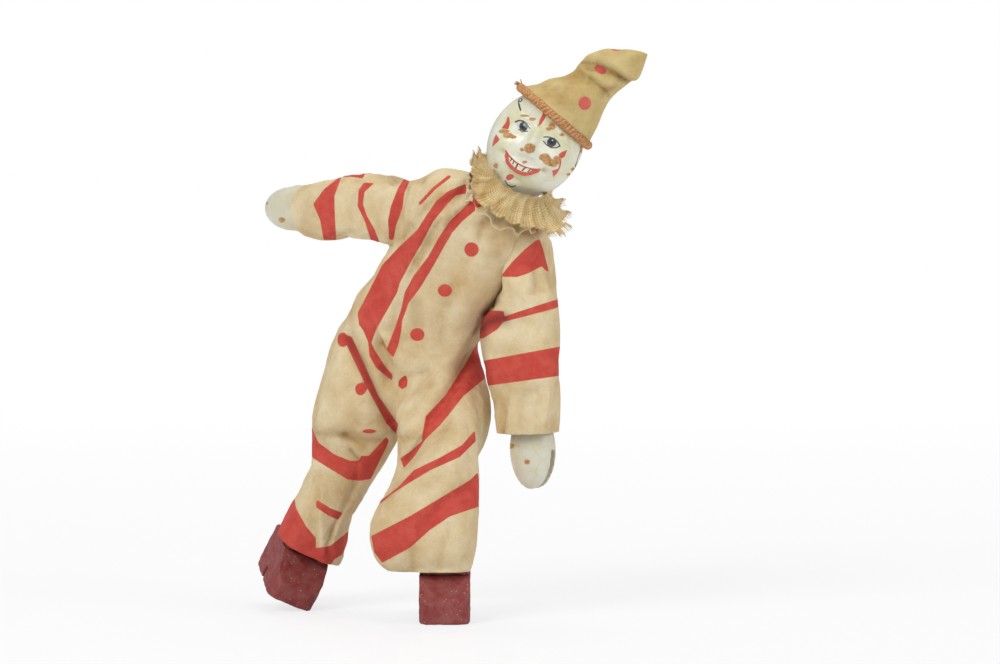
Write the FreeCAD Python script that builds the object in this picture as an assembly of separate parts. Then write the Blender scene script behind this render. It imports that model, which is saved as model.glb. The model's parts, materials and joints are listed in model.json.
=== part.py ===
"""Jointed wooden clown toy in a striped cotton suit, posed in mid step.

The figure faces -Y and stands on its left shoe. The origin is the middle of that shoe's
sole, +Z is up and +X is the figure's own left. Every limb piece is drawn in its own frame,
with the pivot that it hangs from at the origin and the limb running down -Z, and is then
placed by the chain of pivots that starts at the standing shoe. Lengths are in millimetres.
"""
import FreeCAD, Part
import math
import os

V = FreeCAD.Vector

# Lengths of the figure, from pivot to pivot
SHANK = 60.0
THIGH = 43.0
HIP_HALF = 8.0
SPINE = 61.0
SHOULDER_HALF = 16.3
NECK = 13.5
HEAD_RISE = 23.0
UPPER_ARM = 35.0
FOREARM = 53.6

# The pose in the photograph: lean to the figure's left, tilt forward, turn to its left
TORSO_POSE = (26.6, 28.0, 0.0)
HEAD_POSE = (31.0, 10.0, -5.0)
LEFT_THIGH_POSE = (-2.2, -43.3, 0.0)
LEFT_SHANK_POSE = (0.0, 0.0, 0.0)
RIGHT_THIGH_POSE = (24.5, 3.0, 15.0)
RIGHT_SHANK_BEND = 8.0
LEFT_ARM_POSE = (-1.2, 0.0, -25.0)
RIGHT_ARM_POSE = (86.8, 40.5, 0.0)
RUFF_POSE = (37.0, 24.0, 0.0)

# Shoe block
SHOE_WIDTH = 18.4
TOE_REACH = 16.0
HEEL_REACH = 18.5
TOE_HEIGHT = 7.4
INSTEP_REACH = 6.5
SHOE_HEIGHT = 17.2
TOE_CORNER = 4.5
HEEL_CORNER = 3.0
RUNG_SLOT = 3.5
SHOE_SLOT_DEPTH = 5.0
SHOE_SLOT_BACK = 2.5
SOLE_ROUND = 1.0

# Ankle block at the foot of the shin, and the dowel that holds the shoe on
ANKLE_WIDTH = 17.2
ANKLE_DEPTH = 14.4
ANKLE_BLOCK = 7.0
ANKLE_CORNER = 3.0
DOWEL_RADIUS = 2.0
DOWEL_LENGTH = 16.0

# Turned limbs
SHIN_RADIUS = 6.4
THIGH_RADIUS = 7.0
THIGH_TOP_RADIUS = 5.2
KNEE_BARREL = 5.0
UPPER_ARM_RADIUS = 5.4
UPPER_ARM_TOP_RADIUS = 3.9
FOREARM_RADIUS = 5.2
ELBOW_BARREL = 4.2
BEVEL_LIMB = 32.0
BEVEL_ROOT = 132.0
KNUCKLE_SHARE = 0.86

# Hand: a mitten split by a saw kerf that clips over a rung
HAND_LENGTH = 24.0
HAND_WIDTH = 17.2
HAND_THICKNESS = 13.4
HAND_SLOT_DEPTH = 15.0
PALM_SHARE = 0.62

# Beads that the limbs turn on
SHOULDER_BEAD = 4.5
HIP_BEAD = 5.0
NECK_BALL = 6.0
CUP_CLEARANCE = 0.2
CUP_SETBACK = 3.3

# Torso, turned on the spine's line
CHEST_RADIUS = 12.2
BELLY_RADIUS = 12.8
TORSO_FLOOR = 3.5
TORSO_TOP = 71.5
NECK_SEAT_RADIUS = 8.0

# Elastic cords and the pegs that hold their ends
ELASTIC_RADIUS = 0.8
BORE_RADIUS = 1.2
PEG_RADIUS = 1.2
PEG_FIT = 0.05
BEND_RADIUS = 2.4
PEG_IN_SHIN = 20.0
PEG_IN_FOREARM = 16.0
PEG_IN_TORSO = 20.0
NECK_PEG_DROP = 8.0
CROWN_PEG_RISE = 8.0

# Head: an egg with the face glued on in front
HEAD_HALF_WIDTH = 16.7
HEAD_HALF_DEPTH = 17.5
HEAD_HALF_HEIGHT = 20.0
FACE_PLANE = -3.0
NOSE_RADIUS = 3.1
NOSE_LENGTH = 7.1
NOSE_DROP = 2.0
NOSE_SUNK = 0.8
CHEEK_RADIUS = 7.5
CHEEK_APART = 6.5
CHEEK_DROP = 3.5
CHEEK_OUT = 1.0
CHIN_RADIUS = 5.5
CHIN_DROP = 12.6
CHIN_SUNK = 9.0

# Cloth
CLOTH = 0.9
SEAM_GAP = 0.4
RING_SQUARENESS = 0.8
PAST_JOINT = 10.0
HEM_AT = 67.3

# Hat
HAT_RIM_RISE = 12.6
HAT_TRIM_RADIUS = 0.95
HAT_TILT = -12.0
HAT_BACK = 2.2

# Neck ruff of gauze and the suit's own neck frill under it
RUFF_INNER = 11.0
RUFF_OUTER = 20.5
RUFF_SHIFT = V(2.5, -2.0, 2.6)
RUFF_FLARE = 4.0
RUFF_PLEATS = 18
RUFF_WALL = 1.4
FRILL_INNER = 9.0
FRILL_OUTER = 17.8
FRILL_FLARE = 1.5
FRILL_PLEATS = 12


def turned(pose):
    """Rotation for a lean to the figure's left, a tilt forward and a turn, in degrees."""
    lean, tilt, turn = pose
    about_y = FreeCAD.Rotation(V(0, 1, 0), lean)
    about_x = FreeCAD.Rotation(V(1, 0, 0), tilt)
    about_z = FreeCAD.Rotation(V(0, 0, 1), turn)
    return about_y.multiply(about_x).multiply(about_z)


def frame(origin, rotation):
    return FreeCAD.Placement(origin, rotation)


def at(placement, x, y, z):
    """A point of a limb's own frame, in the figure's frame."""
    return placement.multVec(V(x, y, z))


def unit(vector):
    return V(vector) * (1.0 / vector.Length)


# Chain of pivots, from the standing shoe upwards and out along each limb. The origin lies on
# the sole, just in front of its rung slot.
ANKLE_BACK = 0.75
LEFT_SHANK_TURN = turned(LEFT_SHANK_POSE)
LEFT_KNEE = V(0, ANKLE_BACK, 0) + LEFT_SHANK_TURN.multVec(V(0, 0, SHANK))
LEFT_THIGH_TURN = turned(LEFT_THIGH_POSE)
LEFT_HIP = LEFT_KNEE + LEFT_THIGH_TURN.multVec(V(0, 0, THIGH))
TORSO_TURN = turned(TORSO_POSE)
ACROSS = TORSO_TURN.multVec(V(1, 0, 0))
UP_SPINE = TORSO_TURN.multVec(V(0, 0, 1))
HIP_CENTRE = LEFT_HIP - ACROSS * HIP_HALF
RIGHT_HIP = HIP_CENTRE - ACROSS * HIP_HALF
SHOULDER_CENTRE = HIP_CENTRE + UP_SPINE * SPINE
LEFT_SHOULDER = SHOULDER_CENTRE + ACROSS * SHOULDER_HALF
RIGHT_SHOULDER = SHOULDER_CENTRE - ACROSS * SHOULDER_HALF
NECK_PIVOT = SHOULDER_CENTRE + UP_SPINE * NECK
HEAD_TURN = turned(HEAD_POSE)
HEAD_UP = HEAD_TURN.multVec(V(0, 0, 1))
HEAD_CENTRE = NECK_PIVOT + HEAD_UP * HEAD_RISE
RIGHT_THIGH_TURN = turned(RIGHT_THIGH_POSE)
RIGHT_KNEE = RIGHT_HIP - RIGHT_THIGH_TURN.multVec(V(0, 0, THIGH))
RIGHT_SHANK_TURN = RIGHT_THIGH_TURN.multiply(FreeCAD.Rotation(V(1, 0, 0), RIGHT_SHANK_BEND))
LEFT_ARM_TURN = turned(LEFT_ARM_POSE)
RIGHT_ARM_TURN = turned(RIGHT_ARM_POSE)
LEFT_ELBOW = LEFT_SHOULDER - LEFT_ARM_TURN.multVec(V(0, 0, UPPER_ARM))
RIGHT_ELBOW = RIGHT_SHOULDER - RIGHT_ARM_TURN.multVec(V(0, 0, UPPER_ARM))

TORSO = frame(HIP_CENTRE, TORSO_TURN)
HEAD = frame(HEAD_CENTRE, HEAD_TURN)
SHANKS = {"left": frame(LEFT_KNEE, LEFT_SHANK_TURN), "right": frame(RIGHT_KNEE, RIGHT_SHANK_TURN)}
THIGHS = {"left": frame(LEFT_HIP, LEFT_THIGH_TURN), "right": frame(RIGHT_HIP, RIGHT_THIGH_TURN)}
ARMS = {"left": frame(LEFT_SHOULDER, LEFT_ARM_TURN), "right": frame(RIGHT_SHOULDER, RIGHT_ARM_TURN)}
FOREARMS = {"left": frame(LEFT_ELBOW, LEFT_ARM_TURN), "right": frame(RIGHT_ELBOW, RIGHT_ARM_TURN)}
HIPS = {"left": LEFT_HIP, "right": RIGHT_HIP}
KNEES = {"left": LEFT_KNEE, "right": RIGHT_KNEE}
SHOULDERS = {"left": LEFT_SHOULDER, "right": RIGHT_SHOULDER}
ELBOWS = {"left": LEFT_ELBOW, "right": RIGHT_ELBOW}
OUTWARD = {"left": 1.0, "right": -1.0}
LIMB_DOWN = V(0, 0, -1)


def across_joint(first, second):
    """Unit vector square to two directions: the axis that turns one into the other."""
    return unit(first.cross(second))


RAISE_AXES = {
    side: across_joint(ARMS[side].Rotation.multVec(LIMB_DOWN), ACROSS * OUTWARD[side])
    for side in ARMS
}
SPREAD_AXES = {
    side: across_joint(THIGHS[side].Rotation.multVec(LIMB_DOWN), ACROSS * OUTWARD[side])
    for side in THIGHS
}
NOD_AXIS = across_joint(HEAD_UP, UP_SPINE)

# Rings of the suit: height in the limb's frame, then reach to its -X, +X, front and back
SLEEVE_FOLDS = 8
SLEEVE_DEPTH = 0.06
TROUSER_FOLDS = 9
TROUSER_DEPTH = 0.06
SEAT_SEAM = 3.0
CROTCH_DROP = 19.0
SEAT_SEAM_WAY = unit(V(0, -0.5, -1.0))
ARMHOLE_AT = {"left": (14.6, 0.0, 45.0), "right": (-20.5, 0.0, SPINE)}
ARMHOLE_WAY = {"left": unit(V(1.0, 0.0, -0.04)), "right": unit(V(-1.0, 0.35, -0.3))}
BODY_RINGS = [
    (-10.0, 31.5, 19.0, 18.5, 18.0),
    (4.0, 31.0, 17.5, 18.5, 18.0),
    (15.0, 29.5, 16.0, 18.5, 17.5),
    (28.0, 29.0, 15.5, 18.0, 17.0),
    (40.0, 29.0, 16.5, 17.0, 16.0),
    (52.0, 29.0, 17.8, 16.5, 15.5),
    (SPINE + 1.0, 28.0, 18.2, 16.0, 15.0),
    (SPINE + 9.0, 22.0, 16.0, 14.5, 14.0),
    (SPINE + NECK - 1.0, 12.0, 11.5, 11.5, 11.0),
]
SLEEVES = {
    "left": [
        (8.0, 5.0, 3.4, 6.0, 6.0),
        (5.6, 8.0, 6.0, 9.0, 9.0),
        (0.0, 10.5, 8.2, 10.8, 10.8),
        (-6.0, 11.0, 9.5, 11.5, 11.5),
        (-16.0, 12.0, 9.0, 12.0, 12.0),
        (-23.0, 14.5, 8.7, 12.5, 12.5),
        (-30.4, 18.0, 9.1, 12.5, 12.5),
        (-37.6, 17.0, 9.9, 12.5, 12.5),
        (-UPPER_ARM - PAST_JOINT, 15.4, 10.4, 12.5, 12.5),
    ],
    "right": [
        (4.0, 12.0, 12.0, 12.0, 12.0),
        (-4.0, 13.0, 13.0, 12.5, 12.5),
        (-11.0, 12.6, 13.0, 12.5, 12.5),
        (-19.0, 11.2, 12.6, 12.0, 12.0),
        (-26.0, 9.6, 12.6, 11.5, 11.5),
        (-33.5, 11.5, 12.9, 12.0, 12.0),
        (-41.0, 12.7, 12.7, 12.5, 12.5),
        (-UPPER_ARM - PAST_JOINT, 12.3, 11.8, 12.3, 12.3),
    ],
}
CUFFS = {
    "left": [
        (-PAST_JOINT - SEAM_GAP, 15.2, 10.5, 12.5, 12.5),
        (-16.0, 14.4, 10.7, 12.2, 12.2),
        (-24.0, 13.6, 10.7, 11.6, 11.6),
        (-HEM_AT + UPPER_ARM, 11.6, 10.5, 11.0, 11.0),
    ],
    "right": [
        (-PAST_JOINT - SEAM_GAP, 12.2, 11.6, 12.2, 12.2),
        (-14.5, 11.6, 10.8, 11.8, 11.8),
        (-20.5, 10.0, 11.2, 11.4, 11.4),
        (-27.0, 9.6, 11.2, 11.2, 11.2),
        (-HEM_AT + UPPER_ARM, 9.4, 10.0, 10.2, 10.2),
    ],
}
SEATS = {
    "left": (0.0, 19.0, 14.0, 18.0),
    "right": (31.0, 0.0, 14.0, 18.0),
}
HIP_RINGS = {
    "left": (12.0, 15.5, 12.5, 16.5),
    "right": (24.3, 11.0, 14.5, 16.5),
}
TROUSERS = {
    "left": [
        (-20.0, 15.8, 12.6, 13.0, 15.0),
        (-31.0, 17.2, 11.2, 13.0, 14.5),
    ],
    "right": [
        (-18.0, 23.2, 12.4, 15.0, 15.5),
        (-28.0, 21.4, 12.5, 14.5, 15.0),
        (-37.0, 19.2, 11.5, 14.0, 14.5),
    ],
}
KNEE_RINGS = {
    "left": (16.5, 10.6, 13.0, 13.5),
    "right": (15.5, 10.8, 13.5, 14.0),
}
SHANK_RINGS = {
    "left": [
        (-PAST_JOINT - SEAM_GAP, 19.0, 11.8, 13.0, 13.5),
        (-16.4, 23.7, 12.1, 13.5, 14.0),
        (-22.2, 25.7, 11.8, 13.5, 14.0),
        (-28.0, 26.3, 11.6, 13.2, 13.8),
        (-34.0, 24.6, 11.4, 12.6, 13.4),
        (-38.5, 21.5, 11.2, 11.5, 12.6),
        (-41.0, 17.0, 10.6, 10.4, 11.6),
    ],
    "right": [
        (-PAST_JOINT - SEAM_GAP, 11.6, 10.2, 12.5, 13.0),
        (-15.0, 12.0, 9.9, 12.5, 13.0),
        (-21.0, 13.0, 10.6, 12.8, 13.2),
        (-27.0, 13.4, 11.6, 12.8, 13.0),
        (-32.0, 13.2, 12.8, 12.4, 12.8),
        (-37.5, 12.8, 13.6, 11.4, 12.4),
        (-40.5, 12.2, 12.4, 10.6, 11.6),
    ],
}

# Rings of the hat in the head's frame: centre, lean, half width and half depth
HAT_RINGS = [
    (0.6, HAT_RIM_RISE, 8.7, 15.9, 15.9),
    (3.1, 20.0, 5.0, 11.8, 12.6),
    (5.9, 28.3, 0.0, 8.1, 9.6),
    (7.4, 33.6, -3.0, 8.8, 8.8),
    (9.8, 39.2, 3.0, 7.9, 7.2),
    (12.8, 44.0, -4.0, 4.8, 4.6),
    (15.4, 47.9, -20.0, 1.7, 1.8),
]

parts = {}


def place(name, shape, placement):
    """Keep a piece under its name, moved from its own frame to the figure's."""
    moved = shape.copy()
    moved.Placement = placement.multiply(moved.Placement)
    parts[name] = moved


def turned_solid(outline):
    """Solid of revolution about Z from (radius, height) points that start and end on Z."""
    points = [V(radius, 0, height) for radius, height in outline]
    edges = [Part.LineSegment(a, b).toShape() for a, b in zip(points, points[1:] + points[:1])]
    face = Part.Face(Part.Wire(edges))
    return face.revolve(V(0, 0, 0), V(0, 0, 1), 360)


def prism(outline, start, direction):
    """Solid that a closed flat outline sweeps along a direction."""
    wire = Part.makePolygon([start + point for point in outline + outline[:1]])
    return Part.Face(wire).extrude(direction)


def egg(half_x, half_y, half_z):
    """Ball stretched to three half sizes."""
    stretch = FreeCAD.Matrix()
    stretch.scale(V(half_x, half_y, half_z))
    return Part.makeSphere(1.0).transformGeometry(stretch)


def slab(thickness, low, high, reach):
    """Flat box across X, used as a saw kerf in the YZ plane."""
    return Part.makeBox(thickness, 2 * reach, high - low, V(-thickness / 2, -reach, low))


def cord(points, radius):
    """Round cord along straight runs joined by tangent arcs."""
    edges = []
    last = points[0]
    for before, corner, after in zip(points, points[1:], points[2:]):
        inward = unit(before - corner)
        outward = unit(after - corner)
        half_turn = (math.pi - inward.getAngle(outward)) / 2
        setback = BEND_RADIUS * math.tan(half_turn)
        start = corner + inward * setback
        end = corner + outward * setback
        middle_way = unit(inward + outward)
        to_middle = BEND_RADIUS / math.cos(half_turn) - BEND_RADIUS
        edges.append(Part.LineSegment(last, start).toShape())
        edges.append(Part.Arc(start, corner + middle_way * to_middle, end).toShape())
        last = end
    edges.append(Part.LineSegment(last, points[-1]).toShape())
    way = unit(points[1] - points[0])
    ring = Part.Wire(Part.makeCircle(radius, points[0], way))
    return Part.Wire(edges).makePipeShell([ring], True, False)


def wedge(start_angle, end_angle, reach, width):
    """Wedge about the X axis between two angles, counted from -Z towards -Y."""
    step = (end_angle - start_angle) / 3
    rim = [start_angle + step * count for count in range(4)]
    outline = [V(0, 0, 0)]
    for angle in rim:
        turn = math.radians(angle)
        outline.append(V(0, -reach * math.sin(turn), -reach * math.cos(turn)))
    return prism(outline, V(-width, 0, 0), V(2 * width, 0, 0))


def knuckle_root(limb, pivot_down, barrel, front):
    """End the upper limb piece in a barrel across X, bevelled on the side it folds to."""
    reach = 4 * barrel
    cleared = wedge(-90.0, BEVEL_ROOT, reach, reach)
    if not front:
        cleared.rotate(V(0, 0, 0), V(0, 0, 1), 180)
    cleared.translate(V(0, 0, -pivot_down))
    long = barrel * KNUCKLE_SHARE
    roller = Part.makeCylinder(barrel, 2 * long, V(-long, 0, -pivot_down), V(1, 0, 0))
    kerf = slab(2 * BORE_RADIUS, -pivot_down - 2 * barrel, -pivot_down + BORE_RADIUS, reach)
    bore = Part.makeCylinder(BORE_RADIUS, pivot_down, V(0, 0, -pivot_down))
    return limb.cut(cleared).fuse(roller).removeSplitter().cut(kerf.fuse(bore))


def knuckle_tip(limb, barrel, front):
    """Begin the lower limb piece with a trough for the barrel, bevelled to match."""
    reach = 4 * barrel
    cleared = wedge(BEVEL_LIMB, 270.0 - SEAM_GAP, reach, reach)
    if not front:
        cleared.rotate(V(0, 0, 0), V(0, 0, 1), 180)
    trough_radius = barrel + CUP_CLEARANCE
    trough = Part.makeCylinder(trough_radius, 2 * reach, V(-reach, 0, 0), V(1, 0, 0))
    return limb.cut(cleared).cut(trough)


def peg_across(depth_below, length, axis):
    """A straight peg through a limb, square to it."""
    start = V(0, 0, -depth_below) - axis * (length / 2)
    return Part.makeCylinder(PEG_RADIUS, length, start, axis)


def peg_hole(depth_below, length, axis):
    start = V(0, 0, -depth_below) - axis * length
    return Part.makeCylinder(PEG_RADIUS + PEG_FIT, 2 * length, start, axis)


def shoe_block():
    """Block shoe: rounded in plan, sloped over the instep, notched under the arch."""
    half = SHOE_WIDTH / 2
    toe, heel = TOE_REACH, HEEL_REACH
    plan = Part.makeBox(SHOE_WIDTH, toe + heel, SHOE_HEIGHT, V(-half, -toe, 0))
    upright = [edge for edge in plan.Edges if abs(edge.tangentAt(0).z) > 0.9]
    at_toe = [edge for edge in upright if edge.CenterOfMass.y < 0]
    at_heel = [edge for edge in upright if edge.CenterOfMass.y > 0]
    plan = plan.makeFillet(TOE_CORNER, at_toe)
    heel_edges = [
        edge for edge in plan.Edges
        for old in at_heel if (edge.CenterOfMass - old.CenterOfMass).Length < 0.01
    ]
    plan = plan.makeFillet(HEEL_CORNER, heel_edges)
    side = [
        V(0, heel + 1, -1),
        V(0, heel + 1, SHOE_HEIGHT + 1),
        V(0, -INSTEP_REACH, SHOE_HEIGHT + 1),
        V(0, -INSTEP_REACH, SHOE_HEIGHT),
        V(0, -toe, TOE_HEIGHT),
        V(0, -toe - 1, TOE_HEIGHT),
        V(0, -toe - 1, -1),
    ]
    block = plan.common(prism(side, V(-half - 1, 0, 0), V(SHOE_WIDTH + 2, 0, 0)))
    around_sole = [
        edge for edge in block.Edges
        if edge.BoundBox.ZMax < 0.01 and edge.CenterOfMass.y < HEEL_REACH / 2
    ]
    block = block.makeFillet(SOLE_ROUND, around_sole)
    notch = Part.makeBox(
        SHOE_WIDTH + 2, RUNG_SLOT, SHOE_SLOT_DEPTH,
        V(-half - 1, SHOE_SLOT_BACK - RUNG_SLOT / 2, 0),
    )
    socket = Part.makeCylinder(
        DOWEL_RADIUS + PEG_FIT, DOWEL_LENGTH / 2 + 0.5,
        V(0, 0, SHOE_HEIGHT - DOWEL_LENGTH / 2 - 0.5),
    )
    return block.cut(notch).cut(socket)


def shin():
    """Turned shin with a squared ankle block, glued on the shoe."""
    foot = -(SHANK - SHOE_HEIGHT)
    front = -INSTEP_REACH + 0.4
    block = Part.makeBox(
        ANKLE_WIDTH, ANKLE_DEPTH, ANKLE_BLOCK, V(-ANKLE_WIDTH / 2, front, foot)
    )
    upright = [edge for edge in block.Edges if abs(edge.tangentAt(0).z) > 0.9]
    block = block.makeFillet(ANKLE_CORNER, upright)
    shaft = Part.makeCylinder(SHIN_RADIUS, -foot - ANKLE_BLOCK / 2, V(0, 0, foot + ANKLE_BLOCK / 2))
    limb = block.fuse(shaft).removeSplitter()
    limb = knuckle_tip(limb, KNEE_BARREL, False)
    bore = Part.makeCylinder(BORE_RADIUS, PEG_IN_SHIN, V(0, 0, -PEG_IN_SHIN))
    hole = peg_hole(PEG_IN_SHIN, SHIN_RADIUS, V(0, 1, 0))
    socket = Part.makeCylinder(DOWEL_RADIUS + PEG_FIT, DOWEL_LENGTH / 2 + 0.5, V(0, 0, foot))
    return limb.cut(bore).cut(hole).cut(socket)


def ankle_dowel():
    foot = -(SHANK - SHOE_HEIGHT)
    return Part.makeCylinder(DOWEL_RADIUS, DOWEL_LENGTH, V(0, 0, foot - DOWEL_LENGTH / 2))


def cup(bead):
    return Part.makeSphere(bead + CUP_CLEARANCE)


def thigh():
    """Turned thigh: a cup on the hip bead, a swelling, and a barrel for the knee."""
    outline = [
        (0, -CUP_SETBACK + 1.0),
        (THIGH_TOP_RADIUS, -CUP_SETBACK + 0.2),
        (THIGH_RADIUS - 0.4, -CUP_SETBACK - 5.0),
        (THIGH_RADIUS, -THIGH / 2),
        (THIGH_RADIUS - 0.6, -THIGH + KNEE_BARREL + 4.0),
        (KNEE_BARREL + 0.6, -THIGH),
        (0, -THIGH),
    ]
    limb = turned_solid(outline).cut(cup(HIP_BEAD))
    return knuckle_root(limb, THIGH, KNEE_BARREL, False)


def upper_arm():
    """Turned upper arm: a cup on the shoulder bead and a barrel for the elbow."""
    outline = [
        (0, -CUP_SETBACK + 1.0),
        (UPPER_ARM_TOP_RADIUS, -CUP_SETBACK + 0.2),
        (UPPER_ARM_RADIUS - 0.3, -CUP_SETBACK - 7.0),
        (UPPER_ARM_RADIUS, -UPPER_ARM / 2),
        (UPPER_ARM_RADIUS - 0.4, -UPPER_ARM + ELBOW_BARREL + 3.0),
        (ELBOW_BARREL + 0.5, -UPPER_ARM),
        (0, -UPPER_ARM),
    ]
    limb = turned_solid(outline).cut(cup(SHOULDER_BEAD))
    return knuckle_root(limb, UPPER_ARM, ELBOW_BARREL, True)


def forearm_and_hand():
    """Forearm and mitten hand in one piece, the hand split by a kerf for a rung."""
    wrist = -(FOREARM - HAND_LENGTH)
    shaft = Part.makeCylinder(FOREARM_RADIUS, -wrist + 4.0, V(0, 0, wrist - 4.0))
    wide = HAND_WIDTH / 2
    half_long = HAND_LENGTH * PALM_SHARE
    mitten = egg(wide, HAND_THICKNESS / 2, half_long)
    mitten.translate(V(0, 0, -FOREARM + half_long))
    limb = knuckle_tip(shaft, ELBOW_BARREL, True).fuse(mitten)
    kerf = Part.makeBox(
        HAND_WIDTH + 2, RUNG_SLOT, HAND_SLOT_DEPTH + 1,
        V(-wide - 1, -RUNG_SLOT / 2, -FOREARM - 1),
    )
    bore = Part.makeCylinder(BORE_RADIUS, PEG_IN_FOREARM, V(0, 0, -PEG_IN_FOREARM))
    hole = peg_hole(PEG_IN_FOREARM, FOREARM_RADIUS, V(0, 1, 0))
    return limb.cut(kerf).cut(bore).cut(hole)


def shoulder_bead():
    """Bead drilled from the torso's side (-X) and sawn half through on the arm's side."""
    bead = Part.makeSphere(SHOULDER_BEAD)
    drilled = Part.makeCylinder(BORE_RADIUS, SHOULDER_BEAD + 1, V(0, 0, 0), V(-1, 0, 0))
    kerf = Part.makeBox(
        2 * SHOULDER_BEAD, 2 * BORE_RADIUS, 4 * SHOULDER_BEAD,
        V(-BORE_RADIUS, -BORE_RADIUS, -2 * SHOULDER_BEAD),
    )
    return bead.cut(drilled).cut(kerf)


def hip_bead():
    """Bead sawn half through from above and, square to that, half through from below."""
    bead = Part.makeSphere(HIP_BEAD)
    above = slab(2 * BORE_RADIUS, -BORE_RADIUS, HIP_BEAD + 1, HIP_BEAD + 1)
    below = Part.makeBox(
        4 * HIP_BEAD, 2 * BORE_RADIUS, HIP_BEAD + 1 + BORE_RADIUS,
        V(-2 * HIP_BEAD, -BORE_RADIUS, -HIP_BEAD - 1),
    )
    return bead.cut(above).cut(below)


def neck_ball():
    """Ball drilled from above and sawn half through from below."""
    ball = Part.makeSphere(NECK_BALL)
    drilled = Part.makeCylinder(BORE_RADIUS, NECK_BALL + 1, V(0, 0, 0), V(0, 0, 1))
    below = slab(2 * BORE_RADIUS, -NECK_BALL - 1, BORE_RADIUS, NECK_BALL + 1)
    return ball.cut(drilled).cut(below)


def torso_wood():
    """Turned torso with cups for the beads, bevelled in front where the thighs fold up."""
    outline = [
        (0, TORSO_FLOOR),
        (BELLY_RADIUS - 1.5, TORSO_FLOOR),
        (BELLY_RADIUS, TORSO_FLOOR + 8.0),
        (BELLY_RADIUS, SPINE * 0.5),
        (CHEST_RADIUS, SPINE * 0.8),
        (CHEST_RADIUS, SPINE + 3.0),
        (NECK_SEAT_RADIUS, TORSO_TOP),
        (0, TORSO_TOP),
    ]
    wood = turned_solid(outline)
    reach = 3 * BELLY_RADIUS
    bevel = [
        V(0, -2.0, TORSO_FLOOR + 0.4),
        V(0, -2.0, TORSO_FLOOR - 5.0),
        V(0, -2.0 - reach, TORSO_FLOOR - 5.0),
        V(0, -2.0 - reach, TORSO_FLOOR + 0.4 + reach * 1.05),
    ]
    wood = wood.cut(prism(bevel, V(-reach, 0, 0), V(2 * reach, 0, 0)))
    for side in (-1, 1):
        hip = cup(HIP_BEAD)
        hip.translate(V(side * HIP_HALF, 0, 0))
        leg_bore = Part.makeCylinder(BORE_RADIUS, PEG_IN_TORSO, V(side * HIP_HALF, 0, 0))
        shoulder = cup(SHOULDER_BEAD)
        shoulder.translate(V(side * SHOULDER_HALF, 0, SPINE))
        wood = wood.cut(hip).cut(leg_bore).cut(shoulder)
    arm_bore = Part.makeCylinder(
        BORE_RADIUS, 2 * SHOULDER_HALF, V(-SHOULDER_HALF, 0, SPINE), V(1, 0, 0)
    )
    neck = cup(NECK_BALL)
    neck.translate(V(0, 0, SPINE + NECK))
    neck_bore = Part.makeCylinder(BORE_RADIUS, NECK_PEG_DROP, V(0, 0, SPINE + NECK - NECK_PEG_DROP))
    wood = wood.cut(arm_bore).cut(neck).cut(neck_bore)
    return wood.cut(hip_peg(PEG_FIT, 6.0)).cut(neck_peg(PEG_FIT, 6.0))


def hip_peg(extra_radius, extra_length):
    """Peg from side to side through the torso: both leg elastics hang from it."""
    long = 2 * BELLY_RADIUS - 3.0 + extra_length
    start = V(-long / 2, 0, PEG_IN_TORSO)
    return Part.makeCylinder(PEG_RADIUS + extra_radius, long, start, V(1, 0, 0))


def neck_peg(extra_radius, extra_length):
    """Peg from front to back under the neck: it holds the neck elastic's lower end."""
    long = 2 * CHEST_RADIUS - 5.0 + extra_length
    start = V(0, -long / 2, SPINE + NECK - NECK_PEG_DROP)
    return Part.makeCylinder(PEG_RADIUS + extra_radius, long, start, V(0, 1, 0))


def head_egg():
    """The whole head before it is sawn into face and back: egg, nose, cheeks and chin."""
    head = egg(HEAD_HALF_WIDTH, HEAD_HALF_DEPTH, HEAD_HALF_HEIGHT)
    nose = egg(NOSE_RADIUS, NOSE_RADIUS, NOSE_LENGTH / 2)
    nose.translate(V(0, -HEAD_HALF_DEPTH + NOSE_SUNK, -NOSE_DROP))
    head = head.fuse(nose)
    for side in (-1, 1):
        cheek = Part.makeSphere(CHEEK_RADIUS)
        forward = HEAD_HALF_DEPTH - CHEEK_RADIUS - CHEEK_OUT
        cheek.translate(V(side * CHEEK_APART, -forward, -CHEEK_DROP))
        head = head.fuse(cheek)
    chin = Part.makeSphere(CHIN_RADIUS)
    chin.translate(V(0, -HEAD_HALF_DEPTH + CHIN_SUNK, -CHIN_DROP))
    return head.fuse(chin)


def split_head():
    """Saw the head across in front of the neck bore and cup it for the neck ball."""
    whole = head_egg()
    size = 4 * HEAD_HALF_HEIGHT
    behind = Part.makeBox(size, size, size, V(-size / 2, FACE_PLANE, -size / 2))
    seat = cup(NECK_BALL)
    seat.translate(V(0, 0, -HEAD_RISE))
    bore = Part.makeCylinder(BORE_RADIUS, HEAD_RISE + CROWN_PEG_RISE, V(0, 0, -HEAD_RISE))
    hole = crown_peg(PEG_FIT, HEAD_HALF_WIDTH)
    back = whole.common(behind).cut(seat).cut(bore).cut(hole)
    face = whole.cut(behind).cut(seat)
    return face, back


def crown_peg(extra_radius, half_length):
    start = V(-half_length, 0, CROWN_PEG_RISE)
    return Part.makeCylinder(PEG_RADIUS + extra_radius, 2 * half_length, start, V(1, 0, 0))


def squared(value):
    """Cosine or sine pushed outwards, so that a ring fills its corners like loose cloth."""
    return math.copysign(abs(value) ** RING_SQUARENESS, value)


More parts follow.
